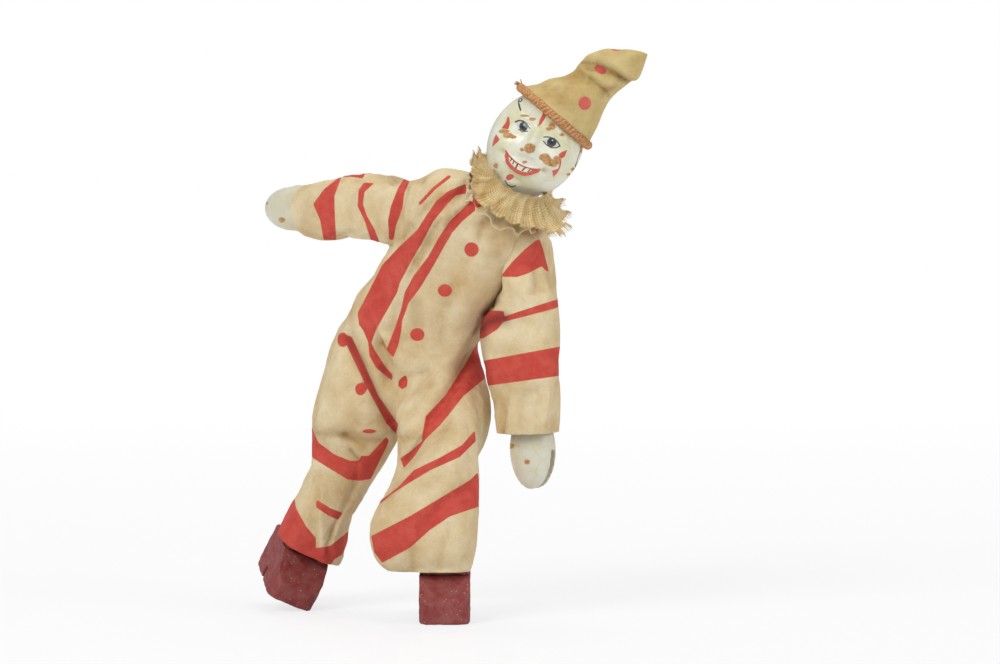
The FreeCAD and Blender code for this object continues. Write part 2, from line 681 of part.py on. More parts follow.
def fold_ring(placement, left, right, front, back, folds, depth):
    """Closed ring of arcs round a limb, one to a fold, with a valley between each two."""
    middle = V((right - left) / 2, (back - front) / 2, 0)
    half_x = (right + left) / 2
    half_y = (back + front) / 2
    points = []
    for count in range(2 * folds):
        angle = math.pi * count / folds + math.pi / 2
        share = 1.0 if count % 2 else 1.0 - depth
        along_x = half_x * share * squared(math.cos(angle))
        along_y = half_y * share * squared(math.sin(angle))
        points.append(placement.multVec(middle + V(along_x, along_y, 0)))
    edges = []
    for count in range(folds):
        start = points[2 * count]
        crest = points[2 * count + 1]
        end = points[(2 * count + 2) % (2 * folds)]
        edges.append(Part.Arc(start, crest, end).toShape())
    return Part.Wire(edges)


def cloth_tube(stations, folds, depth, closed_top):
    """Loft of fold rings and the same loft a cloth's thickness inside, as one hollow tube.

    A station is a placement and the reach to the left, right, front and back.
    """
    def rings(shrink):
        listed = []
        for placement, left, right, front, back in stations:
            sizes = [reach - shrink for reach in (left, right, front, back)]
            listed.append(fold_ring(placement, *sizes, folds, depth))
        return listed

    outer = Part.makeLoft(rings(0.0), True, False)
    inner_rings = rings(CLOTH)
    lengthened = 1.5
    first, second = stations[0][0], stations[1][0]
    last, next_last = stations[-1][0], stations[-2][0]
    away_last = unit(last.Base - next_last.Base) * lengthened
    inner_rings[-1].translate(away_last)
    away_first = unit(first.Base - second.Base) * lengthened
    if closed_top:
        away_first = away_first * (-CLOTH / lengthened)
    inner_rings[0].translate(away_first)
    inner = Part.makeLoft(inner_rings, True, False)
    return outer.cut(inner)


def along(top, height):
    """Placement at a height on a limb's own Z line."""
    return top.multiply(FreeCAD.Placement(V(0, 0, height), FreeCAD.Rotation()))


def half_space(point, outward_way, size):
    """Big block on the far side of a plane, used to trim cloth at a seam."""
    rotation = FreeCAD.Rotation(V(0, 0, 1), outward_way)
    block = Part.makeBox(2 * size, 2 * size, size, V(-size, -size, 0))
    block.Placement = FreeCAD.Placement(point, rotation)
    return block


def ring_ruff(inner, outer, flare, pleats, wall, depth):
    """Pleated collar that flares from the neck, as one thin dished ring."""
    base = FreeCAD.Placement(V(0, 0, 0), FreeCAD.Rotation())
    top = FreeCAD.Placement(V(0, 0, flare), FreeCAD.Rotation())
    above = FreeCAD.Placement(V(0, 0, flare * 2), FreeCAD.Rotation())

    def ring(placement, radius):
        return fold_ring(placement, radius, radius, radius, radius, pleats, depth)

    past = outer + (outer - inner)
    cone = Part.makeLoft([ring(base, inner), ring(top, outer)], True, True)
    hollow = Part.makeLoft([ring(base, inner), ring(top, outer), ring(above, past)], True, True)
    hollow.translate(V(0, 0, wall))
    neck = Part.makeCylinder(inner - wall, 4 * flare + 4, V(0, 0, -2 * flare - 2))
    return cone.cut(hollow).cut(neck)


def sleeve_stations(side):
    """Rings of the sleeve from inside the shoulder to just past the elbow."""
    arm = ARMS[side]
    return [(along(arm, height), *reaches) for height, *reaches in SLEEVES[side]]


def armhole(side, gap):
    """Plane where the sleeve is sewn on: a point moved out by a gap, and the way out."""
    way = TORSO_TURN.multVec(ARMHOLE_WAY[side])
    return at(TORSO, *ARMHOLE_AT[side]) + way * gap, way


def suit_body():
    """The suit from the hips to the neck, gathered at the collar, open at both arms."""
    stations = [(along(TORSO, height), *reaches) for height, *reaches in BODY_RINGS]
    tube = cloth_tube(stations, 12, 0.05, False)
    size = 200.0
    seat = half_space(at(TORSO, 0, 0, SEAT_SEAM), TORSO_TURN.multVec(SEAT_SEAM_WAY), size)
    tube = tube.cut(seat)
    for side in ("left", "right"):
        wider = []
        for placement, *reaches in sleeve_stations(side):
            grown = [reach + SEAM_GAP for reach in reaches]
            wider.append(fold_ring(placement, *grown, SLEEVE_FOLDS, SLEEVE_DEPTH))
        opening = Part.makeLoft(wider, True, False)
        seam, outward_way = armhole(side, 0.0)
        beyond = half_space(seam, outward_way, size)
        tube = tube.cut(opening.common(beyond))
    return max(tube.Solids, key=lambda solid: solid.Volume)


def sleeve_top(side):
    """Sleeve from the armhole to just past the elbow."""
    tube = cloth_tube(sleeve_stations(side), SLEEVE_FOLDS, SLEEVE_DEPTH, side == "left")
    seam, outward_way = armhole(side, SEAM_GAP)
    return tube.cut(half_space(seam, outward_way * -1, 200.0))


def trouser_top(side):
    """Trouser leg from the seat seam, round the bent knee, to just past it."""
    seat_turn = FreeCAD.Rotation(V(0, 0, -1), SEAT_SEAM_WAY)
    seam = V(0, 0, SEAT_SEAM) + SEAT_SEAM_WAY * SEAM_GAP
    seat_frame = TORSO.multiply(FreeCAD.Placement(seam, seat_turn))
    stations = [(seat_frame, *SEATS[side])]
    thigh_frame = THIGHS[side]
    shank = SHANKS[side]
    half_bent = seat_frame.Rotation.slerp(thigh_frame.Rotation, 0.5)
    stations.append((frame(at(thigh_frame, 0, 0, -8.0), half_bent), *HIP_RINGS[side]))
    stations += [(along(thigh_frame, height), *reaches) for height, *reaches in TROUSERS[side]]
    halfway = thigh_frame.Rotation.slerp(shank.Rotation, 0.5)
    stations.append((frame(KNEES[side], halfway), *KNEE_RINGS[side]))
    stations.append((along(shank, -PAST_JOINT), *SHANK_RINGS[side][0][1:]))
    tube = cloth_tube(stations, TROUSER_FOLDS, TROUSER_DEPTH, False)
    other_side = ACROSS * -OUTWARD[side]
    middle = HIP_CENTRE - other_side * (SEAM_GAP / 2)
    below_crotch = half_space(HIP_CENTRE - UP_SPINE * CROTCH_DROP, UP_SPINE * -1, 300.0)
    return tube.cut(half_space(middle, other_side, 200.0).cut(below_crotch))


def lower_tube(limb, rings, folds, depth):
    """Cloth from just past the elbow or the knee to the hem."""
    stations = [(along(limb, height), *reaches) for height, *reaches in rings]
    return cloth_tube(stations, folds, depth, False)


def hat_station(x, z, lean):
    """Placement of one of the hat's rings: the whole hat is tilted back on the head."""
    seat = FreeCAD.Placement(V(0, HAT_BACK, HAT_RIM_RISE), FreeCAD.Rotation(V(1, 0, 0), HAT_TILT))
    ring = FreeCAD.Placement(V(x, 0, z - HAT_RIM_RISE), FreeCAD.Rotation(V(0, 1, 0), lean))
    return seat.multiply(ring)


def hat():
    """Soft cloth cone, folded over towards the figure's left and a little flattened."""
    rings = []
    for x, z, lean, wide, deep in HAT_RINGS:
        rings.append((hat_station(x, z, lean), wide, wide, deep, deep))
    return cloth_tube(rings[::-1], 8, 0.03, True)


def hat_trim():
    """Twisted cord sewn round the hat's rim."""
    x, z, lean, wide, deep = HAT_RINGS[0]
    ring = Part.makeTorus(wide - 0.1, HAT_TRIM_RADIUS)
    ring.Placement = along(hat_station(x, z, lean), -HAT_TRIM_RADIUS - 0.02)
    return ring


# Wooden pieces of both legs and both arms
for side in ("left", "right"):
    shank = SHANKS[side]
    sole = along(shank, -SHANK)
    place("shoe_" + side, shoe_block(), sole)
    place("ankle_dowel_" + side, ankle_dowel(), shank)
    place("shin_" + side, shin(), shank)
    place("shin_peg_" + side, peg_across(PEG_IN_SHIN, 2 * SHIN_RADIUS - 1.0, V(0, 1, 0)), shank)
    place("thigh_" + side, thigh(), THIGHS[side])
    place("upper_arm_" + side, upper_arm(), ARMS[side])
    place("forearm_hand_" + side, forearm_and_hand(), FOREARMS[side])
    peg = peg_across(PEG_IN_FOREARM, 2 * FOREARM_RADIUS - 1.0, V(0, 1, 0))
    place("forearm_peg_" + side, peg, FOREARMS[side])

# Beads: X along the shoulders' line, and for the hips -Z towards the thigh
for side in ("left", "right"):
    outward = ACROSS * OUTWARD[side]
    raise_axis = RAISE_AXES[side]
    third = outward.cross(raise_axis)
    turn = FreeCAD.Rotation(outward, raise_axis, third, "XYZ")
    place("shoulder_bead_" + side, shoulder_bead(), frame(SHOULDERS[side], turn))
    thigh_up = THIGHS[side].Rotation.multVec(V(0, 0, 1))
    second = across_joint(thigh_up, ACROSS)
    turn = FreeCAD.Rotation(ACROSS, second, ACROSS.cross(second), "XYZ")
    place("hip_bead_" + side, hip_bead(), frame(HIPS[side], turn))

third = HEAD_UP.cross(NOD_AXIS)
place("neck_ball", neck_ball(), frame(NECK_PIVOT, FreeCAD.Rotation(NOD_AXIS, third, HEAD_UP, "XYZ")))
place("torso", torso_wood(), TORSO)
place("hip_peg", hip_peg(0.0, 0.0), TORSO)
place("neck_peg", neck_peg(0.0, 0.0), TORSO)

face_shape, back_shape = split_head()
place("face_front", face_shape, HEAD)
place("head_back", back_shape, HEAD)
place("crown_peg", crown_peg(0.0, 8.0), HEAD)

# Elastic cords, stretched along the bores and bent in the beads
FREE_END = PEG_RADIUS + 0.1
arm_ends = {
    side: at(FOREARMS[side], 0, 0, -PEG_IN_FOREARM + FREE_END) for side in FOREARMS
}
arm_line = [arm_ends["right"], RIGHT_SHOULDER, LEFT_SHOULDER, arm_ends["left"]]
parts["arm_elastic"] = cord(arm_line, ELASTIC_RADIUS)
for side in ("left", "right"):
    leg_line = [
        at(SHANKS[side], 0, 0, -PEG_IN_SHIN + FREE_END),
        KNEES[side],
        HIPS[side],
        at(TORSO, OUTWARD[side] * HIP_HALF, 0, PEG_IN_TORSO - FREE_END),
    ]
    parts["leg_elastic_" + side] = cord(leg_line, ELASTIC_RADIUS)
neck_line = [
    at(TORSO, 0, 0, SPINE + NECK - NECK_PEG_DROP + FREE_END),
    NECK_PIVOT,
    at(HEAD, 0, 0, CROWN_PEG_RISE - FREE_END),
]
parts["neck_elastic"] = cord(neck_line, ELASTIC_RADIUS)

# The suit, in one piece of cloth on the figure and here in lengths that follow the limbs
parts["suit_body"] = suit_body()
for side in ("left", "right"):
    parts["sleeve_upper_" + side] = sleeve_top(side)
    parts["sleeve_lower_" + side] = lower_tube(
        FOREARMS[side], CUFFS[side], SLEEVE_FOLDS, SLEEVE_DEPTH
    )
    parts["trouser_upper_" + side] = trouser_top(side)
    parts["trouser_lower_" + side] = lower_tube(
        SHANKS[side], SHANK_RINGS[side], TROUSER_FOLDS, TROUSER_DEPTH
    )

place("hat", hat(), HEAD)
place("hat_trim", hat_trim(), HEAD)
ruff_frame = frame(NECK_PIVOT + TORSO_TURN.multVec(RUFF_SHIFT), turned(RUFF_POSE))
ruff = ring_ruff(RUFF_INNER, RUFF_OUTER, RUFF_FLARE, RUFF_PLEATS, RUFF_WALL, 0.06)
place("gauze_ruff", ruff, ruff_frame)
pressed = egg(
    HEAD_HALF_WIDTH + SEAM_GAP, HEAD_HALF_DEPTH + SEAM_GAP, HEAD_HALF_HEIGHT + SEAM_GAP
)
pressed.Placement = HEAD.multiply(pressed.Placement)
parts["gauze_ruff"] = parts["gauze_ruff"].cut(pressed)
frill = ring_ruff(FRILL_INNER, FRILL_OUTER, FRILL_FLARE, FRILL_PLEATS, CLOTH, 0.05)
place("neck_frill", frill, along(TORSO, SPINE + NECK - 1.0))

os.makedirs("parts", exist_ok=True)
for name in parts:
    parts[name].exportStep("parts/" + name + ".step")
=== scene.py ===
"""Jointed wooden clown toy in a striped cotton suit, as it looks in the photograph.

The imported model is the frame. Lengths are millimetres unless a name says otherwise, and a
point of the photograph is a pair of pixels in its frame of 1000 by 664.
"""
import json
import math

import bmesh
import bpy
import numpy as np
from mathutils import Matrix, Vector, noise


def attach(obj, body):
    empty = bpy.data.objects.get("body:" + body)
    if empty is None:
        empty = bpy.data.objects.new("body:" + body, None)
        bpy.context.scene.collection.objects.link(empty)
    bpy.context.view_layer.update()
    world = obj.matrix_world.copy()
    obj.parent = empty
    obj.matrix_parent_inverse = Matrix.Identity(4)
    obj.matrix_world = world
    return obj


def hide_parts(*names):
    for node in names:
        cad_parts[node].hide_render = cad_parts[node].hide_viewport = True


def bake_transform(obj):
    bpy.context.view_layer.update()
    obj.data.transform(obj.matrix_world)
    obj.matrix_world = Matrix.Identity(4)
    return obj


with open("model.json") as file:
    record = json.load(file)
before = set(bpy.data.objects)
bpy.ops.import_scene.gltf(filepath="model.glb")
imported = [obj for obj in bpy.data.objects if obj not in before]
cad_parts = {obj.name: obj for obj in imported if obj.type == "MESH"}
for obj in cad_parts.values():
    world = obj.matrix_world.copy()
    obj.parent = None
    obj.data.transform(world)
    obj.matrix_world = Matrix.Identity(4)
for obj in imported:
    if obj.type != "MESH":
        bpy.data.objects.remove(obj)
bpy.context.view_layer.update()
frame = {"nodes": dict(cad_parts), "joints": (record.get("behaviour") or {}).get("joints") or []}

# Vector noise takes its seed from the clock unless it is given one.
NOISE_SEED = 7
noise.seed_set(NOISE_SEED)

MM = 0.001
SIDES = ("left", "right")

# Camera: it stands over two metres away with a long lens, a little above the toy's head and
# tilted down, so that the far side is hardly smaller than the near one.
PHOTO_WIDTH, PHOTO_HEIGHT = 1000, 664
LENS_MM, SENSOR_MM = 225.0, 36.0
CAMERA_TILT = 3.84
photo_lens = bpy.data.cameras.new("photo_camera")
photo_lens.lens = LENS_MM
photo_lens.sensor_width = SENSOR_MM
photo_camera = bpy.data.objects.new("photo_camera", photo_lens)
photo_camera.location = (0.020, -2.2525, 0.256)
photo_camera.rotation_euler = (math.radians(90.0 - CAMERA_TILT), 0.0, 0.0)
bpy.context.collection.objects.link(photo_camera)
bpy.context.scene.camera = photo_camera
bpy.context.scene.view_settings.view_transform = "Standard"


def linear(hex_colour):
    """Linear RGBA of an sRGB hex colour."""
    shares = [int(hex_colour[start:start + 2], 16) / 255 for start in (1, 3, 5)]
    return [s / 12.92 if s <= 0.04045 else ((s + 0.055) / 1.055) ** 2.4 for s in shares] + [1.0]


class Look:
    """A material that is built step by step. A step takes values or sockets, gives a socket."""

    def __init__(self, name):
        self.material = bpy.data.materials.new(name)
        self.material.use_nodes = True
        self.tree = self.material.node_tree
        for node in list(self.tree.nodes):
            if node.type != "OUTPUT_MATERIAL":
                self.tree.nodes.remove(node)

    def node(self, kind, inputs=None, **settings):
        """A shader node with these inputs and properties. A hex colour is written as text."""
        node = self.tree.nodes.new("ShaderNode" + kind)
        for name, value in settings.items():
            setattr(node, name, value)
        for name, value in (inputs or {}).items():
            if isinstance(value, bpy.types.NodeSocket):
                self.tree.links.new(value, node.inputs[name])
            else:
                node.inputs[name].default_value = linear(value) if isinstance(value, str) else value
        return node

    def place(self, millimetres, turn=(0.0, 0.0, 0.0)):
        """Object coordinates in units of some millimetres."""
        size = 1.0 / (millimetres * MM)
        return self.stretched(self.node("TexCoord").outputs["Object"], (size, size, size), turn)

    def stretched(self, place, scale, turn=(0.0, 0.0, 0.0)):
        inputs = {"Vector": place, "Rotation": turn, "Scale": scale}
        return self.node("Mapping", inputs).outputs[0]

    def kept(self, name, output="Fac"):
        """What a mesh keeps for each vertex under a name."""
        return self.node("Attribute", attribute_name=name).outputs[output]

    def noise(self, place, scale, detail, roughness=0.5, distortion=0.0, output="Fac"):
        return self.node("TexNoise", {
            "Vector": place, "Scale": scale, "Detail": detail, "Roughness": roughness,
            "Distortion": distortion,
        }).outputs[output]

    def maths(self, operation, *values, clamp=False):
        return self.node("Math", dict(enumerate(values)), operation=operation,
                         use_clamp=clamp).outputs[0]

    def remap(self, value, low, high, to_low, to_high):
        return self.node("MapRange", {
            "Value": value, "From Min": low, "From Max": high, "To Min": to_low, "To Max": to_high,
        }).outputs[0]

    def ramp(self, value, low, low_colour, high, high_colour):
        """A colour between two, which are reached at a low and a high value."""
        node = self.node("ValToRGB", {"Fac": value})
        for number, (position, colour) in enumerate(((low, low_colour), (high, high_colour))):
            node.color_ramp.elements[number].position = position
            node.color_ramp.elements[number].color = linear(colour)
        return node.outputs[0]

    def mix(self, share, first, second, blend_type="MIX"):
        inputs = {"Fac": share, "Color1": first, "Color2": second}
        return self.node("MixRGB", inputs, blend_type=blend_type).outputs[0]

    def bump(self, height, strength, distance, under=None, invert=False):
        """Relief from a height, laid over another relief if one is given."""
        inputs = {"Height": height, "Strength": strength, "Distance": distance * MM}
        if under is not None:
            inputs["Normal"] = under
        return self.node("Bump", inputs, invert=invert).outputs[0]

    def surface(self, colour, roughness, relief, more=None):
        """End with one surface, and give the material."""
        inputs = {"Base Color": colour, "Roughness": roughness, "Normal": relief}
        return self.end(self.node("BsdfPrincipled", {**inputs, **(more or {})}))

    def end(self, shader):
        output = [node for node in self.tree.nodes if node.type == "OUTPUT_MATERIAL"][0]
        self.tree.links.new(shader.outputs[0], output.inputs["Surface"])
        return self.material


def new_piece(name, mesh):
    """A new piece, selected alone."""
    piece = bpy.data.objects.new(name, mesh)
    bpy.context.collection.objects.link(piece)
    bpy.ops.object.select_all(action="DESELECT")
    piece.select_set(True)
    bpy.context.view_layer.objects.active = piece
    return piece


def cover(piece, material):
    """Give a piece one material."""
    piece.data.materials.clear()
    piece.data.materials.append(material)


def reshape(piece, kind, **settings):
    """Apply one modifier to a piece."""
    modifier = piece.modifiers.new(kind.lower(), kind)
    for name, value in settings.items():
        setattr(modifier, name, value)
    bpy.context.view_layer.objects.active = piece
    bpy.ops.object.modifier_apply(modifier=modifier.name)


def smooth(mesh):
    for face in mesh.polygons:
        face.use_smooth = True


# Studio: a seamless white sweep under three soft boxes and a weak fill from all round. The
# sweep is a glossy white sheet. To the camera it is white, washed out with distance, and it
# keeps a soft shadow and a faint mirror of the shoes.
acrylic = Look("white_acrylic")
seen = acrylic.node("LightPath").outputs["Is Camera Ray"]
floor_place = acrylic.node("TexCoord").outputs["Object"]
floor_depth = acrylic.node("SeparateXYZ", {0: floor_place}).outputs["Y"]
washed = acrylic.remap(floor_depth, 0.10, 0.90, 0.72, 1.0)
glow = acrylic.node("Emission", {"Color": "#FFFFFF", "Strength": 1.0})
gloss = acrylic.node("BsdfPrincipled", {
    "Base Color": "#F4F3F6", "Roughness": 0.12, "Specular IOR Level": 0.5,
})
white = acrylic.maths("MULTIPLY", seen, washed)
acrylic.end(acrylic.node("MixShader", {0: white, 1: gloss.outputs[0], 2: glow.outputs[0]}))

SWEEP_SIZE, SWEEP_MIDDLE, SWEEP_HEIGHT, SWEEP_BEND = 6.0, 1.2, 3.0, 1.2
FAR_SIDE = 2.9


def pick_edges(piece, lowest):
    """Select, in edit mode, the edges at the sweep's far side, or only those of them on the floor."""
    bpy.ops.mesh.select_all(action="DESELECT")
    edit = bmesh.from_edit_mesh(piece.data)
    for edge in edit.edges:
        edge.select = all(v.co.y > FAR_SIDE and (v.co.z < 0.1 or not lowest) for v in edge.verts)
    bmesh.update_edit_mesh(piece.data)


bpy.ops.object.select_all(action="DESELECT")
bpy.ops.mesh.primitive_plane_add(size=SWEEP_SIZE, location=(0.0, SWEEP_MIDDLE, 0.0))
sweep = bpy.context.object
sweep.name = "studio_sweep"
bpy.ops.object.mode_set(mode="EDIT")
pick_edges(sweep, False)
bpy.ops.mesh.extrude_region_move(TRANSFORM_OT_translate={"value": (0.0, 0.0, SWEEP_HEIGHT)})
pick_edges(sweep, True)
bpy.ops.mesh.bevel(offset=SWEEP_BEND, segments=24, affect="EDGES")
bpy.ops.object.mode_set(mode="OBJECT")
bpy.ops.object.transform_apply(location=True, rotation=True, scale=True)
sweep.data.materials.append(acrylic.material)
bpy.ops.object.shade_smooth()

world = bpy.data.worlds.new("studio_air")
world.use_nodes = True
bpy.context.scene.world = world
air = world.node_tree.nodes["Background"]
air.inputs["Color"].default_value = linear("#FFFFFF")
air_path = world.node_tree.nodes.new("ShaderNodeLightPath")
air_level = world.node_tree.nodes.new("ShaderNodeMapRange")
air_level.inputs["To Min"].default_value = 0.42
air_level.inputs["To Max"].default_value = 1.0
world.node_tree.links.new(air_path.outputs["Is Camera Ray"], air_level.inputs["Value"])
world.node_tree.links.new(air_level.outputs["Result"], air.inputs["Strength"])

AIM = Vector((0.0, 0.01, 0.11))
SOFT_BOXES = [
    ("key_box", (-0.75, -1.05, 1.00), 0.80, 13.0),
    ("side_box", (1.10, -0.70, 0.55), 0.80, 5.5),
    ("top_box", (0.10, 0.45, 1.30), 0.90, 6.0),
]
for name, place, size, watts in SOFT_BOXES:
    lamp = bpy.data.lights.new(name, "AREA")
    lamp.size = size
    lamp.energy = watts
    holder = bpy.data.objects.new(name, lamp)
    holder.location = place
    holder.rotation_euler = (AIM - Vector(place)).to_track_quat("-Z", "Y").to_euler()
    bpy.context.collection.objects.link(holder)


# Bare beech, pale, close-grained and dull: the torso, the limbs and the beads are turned of it,
# and split pegs and dowels are pressed into them. The suit covers all of it.
GRAIN_WIDTH, GRAIN_LENGTH = 1.6, 9.0
wood = Look("bare_turned_beech")
along_grain = wood.stretched(wood.place(GRAIN_WIDTH), (1.0, 1.0, GRAIN_WIDTH / GRAIN_LENGTH))
grain = wood.noise(along_grain, 1.0, 6.0, 0.6)
beech = wood.surface(wood.ramp(grain, 0.35, "#B58A58", 0.65, "#D9B784"), 0.62,
                     wood.bump(grain, 0.25, 0.1), {"IOR": 1.5})
INNER_WOOD = ["torso", "hip_peg", "neck_peg", "neck_ball", "crown_peg"]
for side in SIDES:
    for piece in ("shoulder_bead", "upper_arm", "forearm_peg", "hip_bead", "thigh", "shin_peg",
                  "ankle_dowel"):
        INNER_WOOD.append(piece + "_" + side)
for name in INNER_WOOD:
    cover(frame["nodes"][name], beech)

# Elastic cords: rubber cores in a braided cotton sleeve, stretched through the bores and
# held by the pegs. The braid shows as fine slanting ribs.
RIB_SPACING = 0.8
cord = Look("braided_elastic")
ribs = cord.node("TexWave", {
    "Vector": cord.place(RIB_SPACING, (0.5, 0.4, 0.0)), "Scale": 1.0, "Distortion": 1.2,
}).outputs["Fac"]
braid = cord.surface(cord.ramp(ribs, 0.0, "#7E6C4E", 1.0, "#B7A583"), 0.8, cord.bump(ribs, 0.5, 0.1))
for name in ("arm_elastic", "leg_elastic_left", "leg_elastic_right", "neck_elastic"):
    cover(frame["nodes"][name], braid)


def evened(piece, voxel, rounds):
    """Mesh a piece evenly, and rub its edges round."""
    reshape(piece, "REMESH", mode="VOXEL", voxel_size=voxel * MM)
    reshape(piece, "SMOOTH", factor=0.5, iterations=rounds)


def worn_copy(node, voxel, rounds):
    """A piece on a CAD node's shape, with its edges rubbed round."""
    piece = new_piece(node + "_finished", frame["nodes"][node].data.copy())
    bpy.ops.object.mode_set(mode="EDIT")
    bpy.ops.mesh.select_all(action="SELECT")
    bpy.ops.mesh.remove_doubles(threshold=0.001 * MM)
    bpy.ops.object.mode_set(mode="OBJECT")
    evened(piece, voxel, rounds)
    bpy.ops.object.shade_smooth()
    return piece


def rows_of(items, field):
    """One field of all of a mesh's items, a row of three for each."""
    flat = np.empty(len(items) * 3)
    items.foreach_get(field, flat)
    return flat.reshape(-1, 3)


def places_of(mesh):
    """All vertices of a mesh, in millimetres."""
    return rows_of(mesh.vertices, "co") / MM


def normals_of(mesh):
    """All vertex normals of a mesh."""
    return rows_of(mesh.vertex_normals, "vector")


def face_middles(mesh):
    """The middles of all faces of a mesh, in millimetres."""
    return rows_of(mesh.polygons, "center") / MM


def move_vertices(mesh, places):
    """Put a mesh's vertices at places in millimetres."""
    mesh.vertices.foreach_set("co", (places * MM).ravel())
    mesh.update()


def keep_attribute(mesh, name, values):
    """Keep one number, or one place, for each vertex under a name."""
    kind, field = ("FLOAT", "value") if values.ndim == 1 else ("FLOAT_VECTOR", "vector")
    attribute = mesh.attributes.get(name) or mesh.attributes.new(name, kind, "POINT")
    attribute.data.foreach_set(field, values.astype(np.float32).ravel())


def edges_of(mesh):
    """Both ends of every edge of a mesh."""
    flat = np.empty(len(mesh.edges) * 2, np.int32)
    mesh.edges.foreach_get("vertices", flat)
    return flat.reshape(-1, 2)


def averaged(values, edges, rounds):
    """Values spread over neighbouring vertices a number of times."""
    count = np.bincount(edges.ravel(), minlength=len(values)).astype(float)
    columns = values.reshape(len(values), -1)
    for _ in range(rounds):
        total = np.zeros_like(columns)
        np.add.at(total, edges[:, 0], columns[edges[:, 1]])
        np.add.at(total, edges[:, 1], columns[edges[:, 0]])
        columns = 0.5 * columns + 0.5 * total / np.maximum(count, 1)[:, None]
    return columns.reshape(values.shape)


def hollowness(mesh, rounds):
    """How far each vertex lies below its surroundings, in millimetres: edges are negative."""
    places = places_of(mesh)
    edges = edges_of(mesh)
    around = averaged(places, edges, rounds)
    return np.einsum("ij,ij->i", around - places, normals_of(mesh))


# Shoes and shins: each shoe is a sawn and rasped block of soft wood, dowelled to the shin's
# squared ankle block. Both are dipped in red oil paint, now dull, chalky and dusty, and rubbed
# through to the wood at the edges.
RED_CHALK_SIZE = 2.2
RED_GRAIN_WIDTH = 0.9
SPECK_SPACING = 1.7
SHOE_VOXEL = 0.34
DENT_SIZES = ((0.35, 0.22), (1.3, 0.05))
RUBBED_BACK = 0.06


def red_paint(name, paint, dust):
    """Worn red paint of one shade, with dust of another."""
    look = Look(name)
    cloud = look.noise(look.place(RED_CHALK_SIZE), 0.5, 8.0, 0.65)
    mottled = look.ramp(cloud, 0.34, paint, 0.68, dust)
    lines = look.stretched(look.place(RED_GRAIN_WIDTH), (2.2, 2.2, 0.25))
    grain = look.noise(lines, 1.0, 5.0, 0.7)
    grain_dark = look.remap(grain, 0.30, 0.62, 0.62, 1.0)
    streaked = look.mix(0.75, mottled, grain_dark, "MULTIPLY")
    patchy = look.maths("ADD", look.kept("edge_wear"), grain)
    with_wood = look.mix(look.remap(patchy, 0.92, 1.12, 0.0, 0.85), streaked, "#C0907A")
    specks = look.node("TexVoronoi", {"Vector": look.place(SPECK_SPACING), "Scale": 1.0})
    speck = look.remap(specks.outputs["Distance"], 0.10, 0.18, 0.55, 0.0)
    specked = look.mix(speck, with_wood, "#C9A79A")
    return look.surface(specked, 0.58, look.bump(grain, 0.5, 0.12), {"IOR": 1.48})


SHOE_RED = red_paint("worn_red_paint", "#8A2E2C", "#9C5650")
ANKLE_RED = red_paint("worn_orange_red_paint", "#963A28", "#A55A3C")
for side in SIDES:
    for node, paint in (("shoe_" + side, SHOE_RED), ("shin_" + side, ANKLE_RED)):
        block = worn_copy(node, SHOE_VOXEL, 3)
        places = places_of(block.data)
        dents = np.array([
            sum(noise.noise(Vector(place) * density) * depth for density, depth in DENT_SIZES)
            for place in places
        ])
        outwards = (dents - RUBBED_BACK)[:, None]
        move_vertices(block.data, places + normals_of(block.data) * outwards)
        rubbed = np.clip(-hollowness(block.data, 10) * 3.2, 0.0, 1.0)
        keep_attribute(block.data, "edge_wear", averaged(rubbed, edges_of(block.data), 3))
        cover(block, paint)
        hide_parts(node)
        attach(block, "shin_" + side)


def gaussian(distance, width):
    return np.exp(-(distance / width) ** 2)


# Old off-white enamel: glossy and a little yellow-green, with fine cracks and brown chips
CRACK_SPACING = 3.4
CHIP_GRAIN = 0.9


def enamel(name, paint, shade):
    """Crazed enamel of one colour, yellowed to another: its look, its colour and its cracks."""
    look = Look(name)
    place = look.place(CRACK_SPACING)
    bent = look.noise(place, 0.8, 4.0, output="Color")
    cells = look.node("TexVoronoi", {"Vector": look.mix(0.25, place, bent), "Scale": 1.0},
                      feature="DISTANCE_TO_EDGE")
    cracks = look.remap(cells.outputs["Distance"], 0.0, 0.035, 1.0, 0.0)
    body = look.ramp(look.noise(place, 0.35, 5.0, 0.6), 0.36, paint, 0.66, shade)
    return look, look.mix(look.maths("MULTIPLY", cracks, 0.16), body, "#8F8459"), cracks


def chipped(look, colour, cracks, roughness):
    """Chips down to the wood over a painted colour, and its gloss."""
    grain = look.noise(look.place(CHIP_GRAIN), 1.0, 6.0, 0.7)
    depth = look.maths("ADD", look.kept("chips"), look.maths("MULTIPLY_ADD", grain, 1.5, -0.75))
    bare = look.remap(depth, -0.06, 0.10, 0.0, 1.0)
    shown = look.mix(bare, colour, look.ramp(grain, 0.38, "#9A6B3C", 0.62, "#CDA06B"))
    # The enamel is darker towards brown in the hollows that a piece marks
    darkened = look.mix(look.kept("hollow_darkening"), shown, "#A48A55")
    sunk = look.maths("MULTIPLY_ADD", cracks, -0.35, bare)
    relief = look.bump(sunk, 0.6, 0.12, invert=True)
    return look.surface(darkened, look.remap(bare, 0.0, 1.0, roughness, 0.8), relief, {"IOR": 1.5})


bpy.context.view_layer.update()
MM_PER_PIXEL = 0.36
VIEW_WAY = np.array((0.0, -0.9978, 0.067))


def photo_pixels(places):
    """Where points of the figure, in millimetres, fall in the photograph."""
    to_camera = np.array(photo_camera.matrix_world.inverted())
    seen_from = places * MM @ to_camera[:3, :3].T + to_camera[:3, 3]
    focal = LENS_MM / SENSOR_MM * PHOTO_WIDTH
    across = PHOTO_WIDTH / 2 + focal * seen_from[:, 0] / -seen_from[:, 2]
    down = PHOTO_HEIGHT / 2 - focal * seen_from[:, 1] / -seen_from[:, 2]
    return np.stack([across, down], axis=1)


